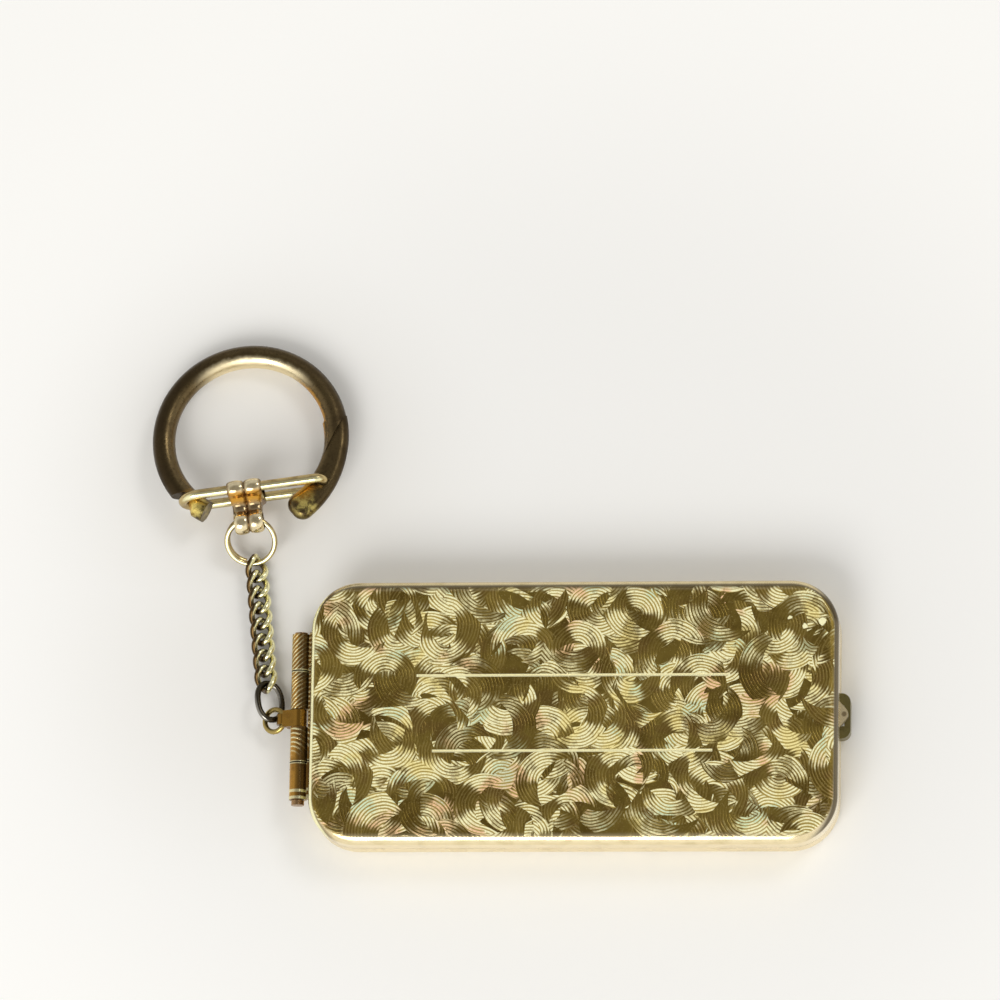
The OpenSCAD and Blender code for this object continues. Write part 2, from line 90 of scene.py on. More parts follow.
class Tone(Enum):
    """Colours of the plated, worn and bare metals and of the table, as they look in soft light, and of the
    highlights and shade painted on them.
    """

    DARK_GOLD = srgb(144, 122, 54)
    DEEP_GOLD = srgb(96, 74, 22)
    FAN_GOLD = srgb(202, 176, 86)
    UMBER_GOLD = srgb(120, 92, 48)
    OLIVE_GOLD = srgb(178, 156, 92)
    PALE_GOLD = srgb(243, 226, 184)
    CREAM_GOLD = srgb(255, 250, 200)
    BAR_GOLD = srgb(200, 178, 124)
    STRAP_BRASS = srgb(148, 110, 44)
    ORANGE_GOLD = srgb(206, 150, 52)
    AMBER_BRASS = srgb(186, 138, 60)
    BROWN_BRASS = srgb(112, 80, 38)
    PIN_BRASS = srgb(170, 136, 96)
    HOOP_OLIVE = srgb(104, 88, 58)
    HOOP_BROWN = srgb(142, 120, 84)
    CHAIN_BROWN = srgb(84, 64, 34)
    DARK_BROWN = srgb(58, 46, 28)
    RIM_SHADE = srgb(84, 72, 48)
    EDGE_HIGHLIGHT = srgb(250, 238, 210)
    LINK_GLINT = srgb(156, 152, 142)
    BUTTON_GOLD = srgb(134, 124, 78)
    PEACH = srgb(250, 192, 150)
    MINT = srgb(204, 232, 198)
    LEMON = srgb(248, 226, 132)
    GRAPHITE = srgb(84, 80, 62)
    DARK_STEEL = srgb(66, 60, 48)
    BRIGHT_STEEL = srgb(190, 192, 194)
    TABLE = srgb(246, 245, 242)
    TABLE_SHADE = srgb(226, 222, 214)


Feed = Socket | float | Triple | Tone
Defaults = dict[str, float | Triple | None]


class Graph:
    """Adds nodes and links to one shader tree."""

    def __init__(self, tree: bpy.types.NodeTree) -> None:
        """Keeps the tree's nodes and links."""
        self.nodes = tree.nodes
        self.links = tree.links

    def put(self, target: Socket, value: Feed) -> None:
        """Links a value into a socket if it is a socket too, and otherwise sets it.

        Args:
            target: The socket that takes it.
            value: The value.
        """
        if isinstance(value, Tone):
            value = value.value
        if isinstance(value, Socket):
            self.links.new(value, target)
        else:
            target.default_value = (*value, 1.0) if target.type == "RGBA" else value

    def node(
        self, kind: str, feeds: dict[int | str, Feed] | None = None, **settings: object
    ) -> bpy.types.Node:
        """Adds a node.

        Args:
            kind: Blender's node type.
            feeds: What goes into its inputs, by place or name.
            **settings: Attributes to set on it first.

        Returns:
            The node.
        """
        made = self.nodes.new(kind)
        for key, value in settings.items():
            setattr(made, key, value)
        for key, value in (feeds or {}).items():
            self.put(made.inputs[key], value)
        return made

    def group(self, tree: bpy.types.NodeTree, **feeds: Feed) -> bpy.types.Node:
        """Places a shader group and fills its inputs, an underscore standing for a space."""
        named = {label.replace("_", " "): value for label, value in feeds.items()}
        return self.node("ShaderNodeGroup", named, node_tree=tree)

    def math(self, operation: str, a: Feed, b: Feed = 0.0, c: Feed = 0.0, clamp: bool = False) -> Socket:
        """Result of one Math node, kept between 0 and 1 by clamp."""
        made = self.node("ShaderNodeMath", {0: a, 1: b, 2: c}, operation=operation, use_clamp=clamp)
        return made.outputs[0]

    def times(self, a: Feed, b: Feed) -> Socket:
        """Product of two numbers."""
        return self.math("MULTIPLY", a, b)

    def larger(self, a: Feed, b: Feed) -> Socket:
        """The larger of two numbers."""
        return self.math("MAXIMUM", a, b)

    def scaled(self, value: Feed, factor: Feed, start: Feed) -> Socket:
        """A number times a factor, added to a start."""
        return self.math("MULTIPLY_ADD", value, factor, start)

    def off(self, value: Feed, middle: Feed) -> Socket:
        """How far a number is from a middle, on either side."""
        return self.math("ABSOLUTE", self.math("SUBTRACT", value, middle))

    def vector(self, operation: str, a: Feed, b: Feed | None = None, out: int = 0) -> Socket:
        """Result of one Vector Math node.

        Args:
            operation: The operation's name.
            a: First vector.
            b: Second vector, or the scale.
            out: 0 for a vector and 1 for a number.

        Returns:
            The result's socket.
        """
        second = {} if b is None else {"Scale" if operation == "SCALE" else 1: b}
        return self.node("ShaderNodeVectorMath", {0: a} | second, operation=operation).outputs[out]

    def distance(self, a: Feed, b: Feed) -> Socket:
        """Distance between two places."""
        return self.vector("DISTANCE", a, b, 1)

    def dot(self, a: Feed, b: Feed) -> Socket:
        """Dot product of two vectors."""
        return self.vector("DOT_PRODUCT", a, b, 1)

    def split(self, vector: Socket) -> tuple[Socket, Socket, Socket]:
        """The three parts of a vector."""
        return tuple(self.node("ShaderNodeSeparateXYZ", {0: vector}).outputs)

    def join(self, x: Feed, y: Feed, z: Feed = 0.0) -> Socket:
        """A vector of three parts."""
        return self.node("ShaderNodeCombineXYZ", {0: x, 1: y, 2: z}).outputs[0]

    def mix(self, factor: Feed, a: Feed, b: Feed) -> Socket:
        """Mix of two colours, factor being the share of the second."""
        return self.node("ShaderNodeMix", {0: factor, 6: a, 7: b}, data_type="RGBA").outputs[2]

    def blend(self, factor: Feed, a: Feed, b: Feed) -> Socket:
        """Mix of two numbers, factor being the share of the second."""
        return self.node("ShaderNodeMix", {0: factor, 2: a, 3: b}, data_type="FLOAT").outputs[0]

    def over(self, under: Feed, mask: Socket, share: Feed, tone: Feed) -> Socket:
        """A colour laid over another by a share of a mask."""
        return self.mix(self.times(mask, share), under, tone)

    def step(self, value: Socket, low: float, high: float) -> Socket:
        """A smooth rise from 0 at low to 1 at high, or a fall if low is above high.

        Args:
            value: What it follows.
            low: Where it is 0.
            high: Where it is 1.

        Returns:
            The mask's socket.
        """
        rises = low < high
        feeds = {0: value, 1: min(low, high), 2: max(low, high), 3: float(not rises), 4: float(rises)}
        return self.node("ShaderNodeMapRange", feeds, interpolation_type="SMOOTHSTEP").outputs[0]

    def noise(
        self, place: Feed, scale: Feed, detail: float = 2.0, rough: float = 0.5, out: str = "Fac"
    ) -> Socket:
        """Smooth noise.

        Args:
            place: Where it is read, in millimetres.
            scale: Waves to a millimetre.
            detail: Octaves.
            rough: Strength of the finer octaves.
            out: Fac for one value and Color for three.

        Returns:
            The noise's socket.
        """
        feeds = {"Vector": place, "Scale": scale, "Detail": detail, "Roughness": rough}
        return self.node("ShaderNodeTexNoise", feeds).outputs[out]


class ShaderGroup:
    """A shader node group being built, with named inputs and outputs."""

    def __init__(self, name: str, inputs: Defaults, outputs: tuple[str, ...]) -> None:
        """Makes the group and its sockets.

        Args:
            name: The group's name.
            inputs: Each input's default: a number, a colour, or None for a vector.
            outputs: The outputs, which are all numbers except Colour.
        """
        self.tree = bpy.data.node_groups.new(name, "ShaderNodeTree")
        face = self.tree.interface
        for label, default in inputs.items():
            kind = "Vector" if default is None else "Float" if isinstance(default, float) else "Color"
            socket = face.new_socket(label, in_out="INPUT", socket_type=f"NodeSocket{kind}")
            if default is not None:
                socket.default_value = (*default, 1.0) if kind == "Color" else default
        for label in outputs:
            kind = "Color" if label == "Colour" else "Float"
            face.new_socket(label, in_out="OUTPUT", socket_type=f"NodeSocket{kind}")
        self.graph = Graph(self.tree)
        self.read = self.graph.node("NodeGroupInput").outputs
        self.sink = self.graph.node("NodeGroupOutput")

    def give(self, label: str, value: Feed) -> None:
        """Sends a value to one of the group's outputs."""
        self.graph.put(self.sink.inputs[label], value)


class Effects:
    """Shader groups that the finishes share, each built once.

    The round tool marks lie in layers. Each layer is shifted, turned and closer set than the one
    before, so that the marks overlap and no pattern repeats.

    Attributes:
        TURN: A full turn in radians.
        MARK_LAYERS: How many layers of marks there are.
        MARK_SPACING: Spacing of the first layer's marks in mm.
        MARK_CLOSER: How much closer each next layer's are.
        MARK_SPIN: Radians by which each next layer is turned.
        MARK_START: Shift of the first layer.
        MARK_STRIDE: How much further each next layer is shifted.
        MARK_RADIUS: Middling radius of a mark in mm.
        LINE_PITCH: Distance between a mark's concentric lines in mm.
        BARE: Reach, fan and tone where no mark lies.
        HOLD: Ties a layer to the one before, too small to move it.
        PIN_X: Where the hinge pin is along the case, in mm.
        ARC_MIDDLE: Middle of the arcs on the near knuckle, in mm.
    """

    TURN = 2.0 * math.pi
    MARK_LAYERS = 9
    MARK_SPACING = 9.6
    MARK_CLOSER = 0.3
    MARK_SPIN = 0.7
    MARK_START = (101.3, 211.7)
    MARK_STRIDE = (13.7, 57.9)
    MARK_RADIUS = 4.6
    LINE_PITCH = 0.39
    BARE = (4.0, 0.3, 0.4)
    HOLD = 1e-7
    PIN_X = -34.3
    ARC_MIDDLE = (-35.2, -5.6, 0.0)

    def __init__(self) -> None:
        """Builds every group."""
        self.mark_layer = self.build_mark_layer()
        self.swirl = self.build_swirl()
        self.wear = self.build_wear()
        self.rolled_lines = self.build_rolled_lines()

    @classmethod
    def build_mark_layer(cls) -> bpy.types.NodeTree:
        """One layer of scattered round tool marks, laid over the layers before it.

        A mark is 0.76 to 1.16 times the radius, with a round bite out of one side that leaves a
        crescent about as thick as given.

        Returns:
            The group: reach from the mark's centre in mm, fan, which masks where highlights are painted, and
                a tone for each mark.
        """
        inputs = {
            "Place": None, "Shift": None, "Spin": None, "Heading": 0.0, "Spacing": cls.MARK_SPACING,
            "Radius": cls.MARK_RADIUS, "Thickness": 2.6, "Turn": 1.0,
            "Under Reach": 4.0, "Under Fan": 0.0, "Under Tone": 0.5,
        }
        group = ShaderGroup("tool_mark_layer", inputs, ("Reach", "Fan", "Tone"))
        g, read = group.graph, group.read
        laid = {"Vector": read["Place"], "Location": read["Shift"], "Rotation": read["Spin"]}
        flat = g.node("ShaderNodeMapping", laid).outputs[0]
        cells = g.node("ShaderNodeTexVoronoi", {"Vector": flat}, voronoi_dimensions="2D", feature="F1")
        g.put(cells.inputs["Scale"], g.math("DIVIDE", 1.0, read["Spacing"]))
        g.put(cells.inputs["Randomness"], 0.6)
        away = g.vector("SUBTRACT", flat, cells.outputs["Position"])
        reach = g.vector("LENGTH", away, out=1)
        red, green, blue = g.split(cells.outputs["Color"])
        turn = g.scaled(g.math("SUBTRACT", green, 0.5), read["Turn"], read["Heading"])
        across = g.dot(away, g.join(g.math("SINE", turn), g.math("COSINE", turn)))
        fan = g.math("DIVIDE", g.math("ABSOLUTE", across), g.larger(reach, 0.01))
        size = g.times(read["Radius"], g.scaled(red, 0.4, 0.76))
        way = g.times(g.math("ADD", red, blue), cls.TURN)
        cut = g.vector("SCALE", g.join(g.math("COSINE", way), g.math("SINE", way)), read["Thickness"])
        past = g.distance(away, cut)
        inside = g.times(g.math("LESS_THAN", reach, size), g.math("GREATER_THAN", past, g.times(size, 0.92)))
        for label, value in (("Reach", reach), ("Fan", fan), ("Tone", blue)):
            group.give(label, g.blend(inside, read[f"Under {label}"], value))
        return group.tree

    def build_swirl(self) -> bpy.types.NodeTree:
        """Overlapping round tool marks, each of fine concentric lines, with a fan of each mark where a
        highlight is painted.

        Returns:
            The group: Glow, the mask of the painted highlight fans, Line across the grooves, Tone of the
                mark and Height.
        """
        inputs = {
            "Place": None, "Mark Radius": self.MARK_RADIUS, "Line Pitch": self.LINE_PITCH,
            "Fan Start": 0.37, "Fan End": 0.94,
        }
        group = ShaderGroup("swirl_engraving", inputs, ("Glow", "Line", "Tone", "Height"))
        g, read = group.graph, group.read
        flat = g.vector("MULTIPLY", read["Place"], (1.0, 1.0, 0.0))
        (start_x, start_y), (stride_x, stride_y) = self.MARK_START, self.MARK_STRIDE
        reach, fan, tone = self.BARE
        for layer in range(self.MARK_LAYERS):
            across: Feed = stride_x * layer + start_x
            if layer:
                # The render works out each layer after the one before, and so holds few values at once.
                across = g.scaled(reach, self.HOLD, across)
            shift = g.join(across, stride_y * layer + start_y)
            spin = self.MARK_SPIN * layer
            marks = g.group(
                self.mark_layer, Place=flat, Shift=shift, Spin=(0.0, 0.0, spin), Heading=-spin,
                Spacing=self.MARK_SPACING - self.MARK_CLOSER * layer, Radius=read["Mark Radius"], Turn=1.3,
                Under_Reach=reach, Under_Fan=fan, Under_Tone=tone,
            )
            reach, fan, tone = marks.outputs
        wobble = g.noise(flat, 0.5, 1.0)
        phase = g.math("DIVIDE", g.scaled(wobble, 0.3, reach), read["Line Pitch"])
        wave = g.math("SINE", g.times(phase, self.TURN))
        seed = g.times(tone, 40.0)
        thick = g.noise(g.join(phase, seed, g.times(fan, 2.5)), 0.8, 2.0, 0.6)
        each = g.noise(g.join(g.math("FLOOR", phase), seed), 3.7, 0.0)
        ranged = g.node("ShaderNodeMapRange", interpolation_type="SMOOTHSTEP")
        g.put(ranged.inputs[0], g.scaled(g.math("SUBTRACT", each, 0.5), 0.5, fan))
        g.put(ranged.inputs[1], read["Fan Start"])
        g.put(ranged.inputs[2], read["Fan End"])
        lit = ranged.outputs[0]
        broad = g.scaled(lit, 0.6, g.scaled(thick, 2.6, -1.5))
        line = g.step(g.math("ADD", wave, broad), -0.25, 0.65)
        patch = g.step(g.noise(flat, 0.33, 3.0, 0.6), 0.36, 0.6)
        strength = g.scaled(g.step(tone, 0.0, 0.6), 0.75, 0.3)
        grain = g.scaled(g.noise(flat, 2.2, 3.0, 0.7), 1.1, 0.5)
        # Glow masks the painted highlight of each mark's lit fan, faded near its centre and broken by grain.
        glow = g.times(g.times(lit, strength), g.scaled(patch, 0.75, 0.3))
        glow = g.times(glow, g.step(reach, 0.5, 1.7))
        group.give("Glow", g.math("MULTIPLY", glow, grain, clamp=True))
        worn = g.scaled(g.step(g.noise(flat, 4.5, 2.0, 0.6), 0.32, 0.52), 0.5, 0.5)
        group.give("Line", g.times(line, worn))
        group.give("Tone", tone)
        group.give("Height", line)
        return group.tree

    @staticmethod
    def build_wear() -> bpy.types.NodeTree:
        """Patches of tarnish, pin-prick marks and fine scratches on plated metal.

        Returns:
            The group: Colour, Roughness and Height.
        """
        inputs = {
            "Place": None, "Base": (0.5, 0.45, 0.3), "Tarnish": (0.2, 0.15, 0.08),
            "Amount": 0.4, "Scale": 0.5, "Roughness": 0.25,
        }
        group = ShaderGroup("plate_wear", inputs, ("Colour", "Roughness", "Height"))
        g, read = group.graph, group.read
        place, amount, tarnish = read["Place"], read["Amount"], read["Tarnish"]
        broad = g.step(g.noise(place, read["Scale"], 4.0, 0.62), 0.42, 0.72)
        stretched = g.vector("MULTIPLY", place, (1.0, 9.0, 9.0))
        scratch = g.step(g.noise(stretched, 1.3, 3.0, 0.6), 0.56, 0.7)
        specks = g.step(g.noise(place, 7.0, 1.0), 0.68, 0.76)
        share = g.math("MULTIPLY", g.scaled(scratch, 0.3, broad), amount, clamp=True)
        colour = g.mix(share, read["Base"], tarnish)
        group.give("Colour", g.mix(g.times(specks, g.times(amount, 0.7)), colour, tarnish))
        group.give("Roughness", g.math("MULTIPLY_ADD", share, 0.3, read["Roughness"], clamp=True))
        swell = g.times(g.noise(place, 2.2, 3.0), 0.5)
        group.give("Height", g.math("SUBTRACT", swell, g.times(scratch, 0.2)))
        return group.tree

    @classmethod
    def build_rolled_lines(cls) -> bpy.types.NodeTree:
        """Curved engraved lines that run slanting round a rolled brass knuckle.

        Returns:
            The group: Line, bright on the ridges, and Height.
        """
        inputs = {"Place": None, "Pitch": 0.56, "Slant": -0.85, "Bow": 0.15}
        group = ShaderGroup("knuckle_lines", inputs, ("Line", "Height"))
        g, read = group.graph, group.read
        x, y, _ = g.split(read["Place"])
        out = g.math("ADD", x, -cls.PIN_X)
        bowed = g.times(g.times(out, out), read["Bow"])
        run = g.math("ADD", g.scaled(out, read["Slant"], y), bowed)
        slanting = g.scaled(g.noise(read["Place"], 0.4, 1.0), 0.7, run)
        arcs = g.distance(g.join(x, y), cls.ARC_MIDDLE)
        shown = g.blend(g.math("GREATER_THAN", y, -1.0), arcs, slanting)
        wave = g.math("SINE", g.times(g.math("DIVIDE", shown, read["Pitch"]), cls.TURN))
        thick = g.noise(read["Place"], 1.6)
        ridge = g.step(g.scaled(thick, 1.2, wave), 0.85, 1.5)
        mask = g.times(ridge, g.step(y, -5.2, -3.6))
        group.give("Line", mask)
        group.give("Height", mask)
        return group.tree


class Dressing:
    """A finish being made: a material with one Principled shader, and places in millimetres."""

    def __init__(self, name: str, metallic: float, effects: Effects) -> None:
        """Makes the material.

        Args:
            name: The material's name.
            metallic: Share of metal.
            effects: The shared shader groups.
        """
        self.effects = effects
        self.material = bpy.data.materials.new(name)
        self.material.use_nodes = True
        tree = self.material.node_tree
        tree.nodes.clear()
        self.graph = Graph(tree)
        out = self.graph.node("ShaderNodeOutputMaterial")
        self.shader = self.graph.node("ShaderNodeBsdfPrincipled", {"Metallic": metallic})
        self.graph.put(out.inputs[0], self.shader.outputs[0])
        coordinates = self.graph.node("ShaderNodeTexCoord").outputs
        self.normal = coordinates["Normal"]
        self.place = self.graph.vector("SCALE", coordinates["Object"], 1.0 / MM)

    def set(self, label: str, value: Feed) -> None:
        """Sets or links one of the shader's sockets."""
        self.graph.put(self.shader.inputs[label], value)

    def facing(self, way: Triple, low: float, high: float) -> Socket:
        """A smooth mask of the parts whose surface faces a way, from cosine low to cosine high."""
        return self.graph.step(self.graph.dot(self.normal, way), low, high)

    def bump(self, height: Socket, depth: float, strength: float = 0.6) -> None:
        """Raises the surface by height times depth, which is in metres."""
        feeds = {"Strength": strength, "Distance": depth, "Height": height}
        self.set("Normal", self.graph.node("ShaderNodeBump", feeds).outputs[0])


@dataclass(frozen=True)
class Finish:
    """A worn metal finish.

    Attributes:
        name: The material's name.
        metallic: Share of metal.
        roughness: Roughness where it isn't worn.
        amount: Strength of the tarnish.
        scale: Patches of tarnish to a millimetre.
        depth: Depth of the relief in metres.
    """

    name: str
    metallic: float = 0.95
    roughness: float = 0.25
    amount: float = 0.4
    scale: float = 0.5
    depth: float = 0.00001

    def build(self, effects: Effects) -> bpy.types.Material:
        """The painted material.

        Args:
            effects: The shared shader groups.

        Returns:
            The material.
        """
        d = Dressing(self.name, self.metallic, effects)
        self.paint(d)
        return d.material

    def paint(self, d: Dressing) -> None:
        """Gives the material its colour, gloss and relief."""
        raise NotImplementedError

    def worn(self, d: Dressing, base: Tone, tarnish: Tone) -> bpy.types.Node:
        """Places the wear group with this finish's values.

        Args:
            d: The finish being made.
            base: The clean metal.
            tarnish: The worn metal.

        Returns:
            The group's node.
        """
        return d.graph.group(
            d.effects.wear, Place=d.place, Base=base, Tarnish=tarnish,
            Amount=self.amount, Scale=self.scale, Roughness=self.roughness,
        )

    def close(self, d: Dressing, colour: Socket, wear: bpy.types.Node, strength: float = 0.6) -> None:
        """Gives the shader its colour, and the roughness and relief of the wear.

        Args:
            d: The finish being made.
            colour: The colour's socket.
            wear: The wear group's node.
            strength: Strength of the relief.
        """
        d.set("Base Color", colour)
        d.set("Roughness", wear.outputs["Roughness"])
        d.bump(wear.outputs["Height"], self.depth, strength)


@dataclass(frozen=True)
class SwirlGold(Finish):
    """Gold plate engraved all over with overlapping round swirls, with painted highlights on the lit fans
    and dark between them.

    The half length and half width are the case's. A panel line has its height on the lid and half its
    length, the short line its middle and height, and a worn fleck its middle and radius.
    """

    name: str = "swirl_engraved_gold"
    roughness: float = 0.18
    amount: float = 0.35
    depth: float = 0.00003
    dark: Tone = Tone.DARK_GOLD
    deep: Tone = Tone.DEEP_GOLD
    groove: Tone = Tone.OLIVE_GOLD
    fan: Tone = Tone.FAN_GOLD
    light: Tone = Tone.CREAM_GOLD
    rim: Tone = Tone.PALE_GOLD
    shade: Tone = Tone.RIM_SHADE
    line_pitch: float = Effects.LINE_PITCH
    mark_radius: float = Effects.MARK_RADIUS
    half_length: float = 32.7
    half_width: float = 16.5
    lip_dimple: float = 33.3
    panels: tuple[tuple[float, float], ...] = ((4.54, 19.3), (-4.92, 17.2))
    short_line: tuple[float, float] = (31.9, 0.45)
    flecks: tuple[tuple[Triple, float], ...] = (
        ((27.0, 12.0, 0.0), 0.22), ((28.9, 10.85, 0.0), 0.28), ((30.95, 11.45, 0.0), 0.44),
    )

    def paint(self, d: Dressing) -> None:
        """Engraves the top with painted highlight fans, and gives the rim and the walls their colour with
        painted shade and highlights.

        Args:
            d: The finish being made.
        """
        g = d.graph
        swirl = g.group(
            d.effects.swirl, Place=d.place, Mark_Radius=self.mark_radius, Line_Pitch=self.line_pitch
        )
        glow, line, tone, height = swirl.outputs
        top = self.on_plan(d)
        light = self.lit_colour(d)
        ground = self.ground_colour(d, line, tone)
        # The lit fans are painted highlights: lit and bright mask them, and the strokes are their lit lines.
        lit = g.step(glow, 0.0, 0.5)
        bright = g.step(glow, 0.26, 0.76)
        face = g.over(ground, lit, 0.12, self.groove)
        face = g.over(face, bright, 0.46, self.fan)
        stroke = g.times(lit, line)
        light = g.mix(g.scaled(bright, -0.24, 0.24), light, self.fan)
        marks = self.marks(g, d.place)
        face = g.mix(marks, g.mix(stroke, face, light), self.light)
        d.set("Base Color", g.mix(top, self.edge(d), face))
        shine = g.times(g.larger(g.larger(stroke, bright), marks), top)
        d.set("Metallic", g.scaled(shine, -0.8, 0.85))
        d.set("Roughness", g.blend(top, 0.2, g.scaled(tone, 0.1, 0.3)))
        d.bump(g.times(height, top), self.depth)

    def lit_colour(self, d: Dressing) -> Socket:
        """Colour of the painted highlights on the lit lines, tinted peach, lemon and mint here and there.

        Args:
            d: The finish being made.

        Returns:
            The colour's socket.
        """
        g = d.graph
        tint = g.noise(d.place, 0.2)
        sheen = g.noise(g.vector("ADD", d.place, (37.0, 11.0, 5.0)), 0.23)
        light = g.over(self.light, g.step(tint, 0.55, 0.66), 0.8, Tone.PEACH)
        light = g.over(light, g.step(tint, 0.42, 0.34), 0.6, Tone.LEMON)
        return g.over(light, g.step(sheen, 0.58, 0.67), 0.7, Tone.MINT)

    def ground_colour(self, d: Dressing, line: Socket, tone: Socket) -> Socket:
        """Colour between the lit fans: blotched dark gold with pits and faint lines.

        Args:
            d: The finish being made.
            line: Mask of the engraved lines.
            tone: Tone of each mark.

        Returns:
            The colour's socket.
        """
        g = d.graph
        blotch = g.step(g.noise(d.place, 0.22, 4.0, 0.65), 0.36, 0.66)
        ground = g.over(self.dark, blotch, 0.75, self.deep)
        umber = g.step(g.noise(g.vector("ADD", d.place, (61.0, 17.0, 3.0)), 0.3), 0.5, 0.66)
        ground = g.over(ground, umber, 0.5, Tone.UMBER_GOLD)
        pits = g.step(g.noise(d.place, 5.5, 1.0), 0.62, 0.72)
        ground = g.over(ground, pits, 0.6, self.groove)
        faint = g.scaled(g.step(tone, 0.25, 0.5), 0.34, 0.08)
        return g.over(ground, line, faint, self.groove)

    def on_plan(self, d: Dressing) -> Socket:
        """Mask of the lid's face, over the bend at its two ends but without the thumb lip.

        Args:
            d: The finish being made.

        Returns:
            The mask's socket.
        """
        g = d.graph
        x, y, _ = g.split(d.place)
        across, _, up = g.split(d.normal)
        slope = g.scaled(g.math("ABSOLUTE", across), 0.22, up)
        ends = self.half_length + 0.05, self.half_length - 0.3
        flat = g.times(g.step(slope, 0.9, 0.995), g.step(g.math("ABSOLUTE", x), *ends))
        sides = self.half_width - 0.4, self.half_width - 1.5
        return g.times(flat, g.step(g.math("ABSOLUTE", y), *sides))

    def edge(self, d: Dressing) -> Socket:
        """Colour of the rolled rim and walls: pale on the long sides, with painted shade on the walls facing
        -X and +Y and along the two ends' bends, and painted highlights on the latch end's walls and along a
        bead on the left end's bend.

        Args:
            d: The finish being made.

        Returns:
            The colour's socket.
        """
        g = d.graph
        colour = self.worn(d, self.rim, self.groove).outputs["Colour"]
        across, along, up = g.split(d.normal)
        ends = g.step(g.math("ABSOLUTE", across), 0.3, 0.7)
        bend = g.times(ends, g.step(up, 0.02, 0.3))
        # Painted shade on the walls facing -X, and a painted highlight on the latch end's walls, which face
        # +X.
        painted_latch_end_highlight = g.step(across, 0.3, 0.7)
        colour = g.over(colour, g.step(across, -0.3, -0.7), 0.7, Tone.BROWN_BRASS)
        colour = g.over(colour, painted_latch_end_highlight, 0.8, Tone.EDGE_HIGHLIGHT)
        # Painted shade on the walls facing +Y, a darker painted shade line along their bend, and painted
        # shade along the two ends' bends.
        colour = g.over(colour, g.step(along, 0.3, 0.8), 0.35, self.groove)
        painted_crease_shade = g.times(g.step(along, 0.06, 0.16), g.step(along, 0.62, 0.4))
        colour = g.over(colour, painted_crease_shade, 0.85, self.shade)
        colour = g.over(colour, bend, 0.9, self.shade)
        # A painted highlight along a bead on the left end's bend.
        painted_bead_highlight = g.times(g.step(across, -0.5, -0.64), g.step(across, -0.94, -0.86))
        colour = g.mix(painted_bead_highlight, colour, self.light)
        x, y, _ = g.split(d.place)
        lip = g.times(g.math("GREATER_THAN", x, self.half_length + 0.06), g.step(up, 0.2, 0.6))
        colour = g.mix(lip, colour, self.rim)
        dimple = g.step(g.distance(g.join(x, y), (self.lip_dimple, 0.0, 0.0)), 0.42, 0.2)
        return g.over(colour, dimple, 0.8, Tone.HOOP_BROWN)

    def marks(self, g: Graph, place: Socket) -> Socket:
        """The panel lines, a short line at the latch end, and three worn flecks at the upper right corner.

        Args:
            g: The material's graph.
            place: Places in millimetres.

        Returns:
            A mask of them all.
        """
        x, y, _ = g.split(place)
        middle, height = self.short_line
        off = g.off(y, height)
        short = g.times(g.step(off, 0.13, 0.05), g.step(g.off(x, middle), 0.9, 0.7))
        rough = g.vector("SCALE", g.noise(place, 1.7, 1.0, out="Color"), 0.6)
        ragged = g.vector("ADD", g.join(x, y), g.vector("MULTIPLY", rough, (1.0, 1.0, 0.0)))
        flecks: Feed = 0.0
        for spot, size in self.flecks:
            flecks = g.larger(g.step(g.distance(ragged, spot), size + 0.1, size), flecks)
        return g.larger(self.panel_lines(g, place), g.larger(g.times(short, 0.6), flecks))

    def panel_lines(self, g: Graph, place: Socket) -> Socket:
        """Mask of the bright cut lines above and below the middle of the lid.

        Args:
            g: The material's graph.
            place: Places in millimetres.

        Returns:
            The mask's socket.
        """
        x, y, _ = g.split(place)
        reach = g.math("ABSOLUTE", x)
        masks = []
        for height, half in self.panels:
            off = g.off(y, height)
            masks.append(g.times(g.step(off, 0.22, 0.11), g.step(reach, half + 0.2, half)))
        return g.larger(*masks)


@dataclass(frozen=True, kw_only=True)
class PlatedMetal(Finish):
    """Plain plated or bare metal with tarnish, specks and fine scratches.

    Where a glint is given, a highlight in its tone is painted on the parts that face its way.
    """

    base: Tone
    tarnish: Tone
    glint: Tone | None = None
    glint_way: Triple = (0.0, -0.5, 0.866)

    def paint(self, d: Dressing) -> None:
        """Lays the wear and the painted glint highlight on.

        Args:
            d: The finish being made.
        """
        wear = self.worn(d, self.base, self.tarnish)
        colour = wear.outputs["Colour"]
        # The glint is a painted highlight on the parts that face its way.
        if self.glint is not None:
            colour = d.graph.over(colour, d.facing(self.glint_way, 0.72, 0.92), 0.85, self.glint)
        self.close(d, colour, wear)


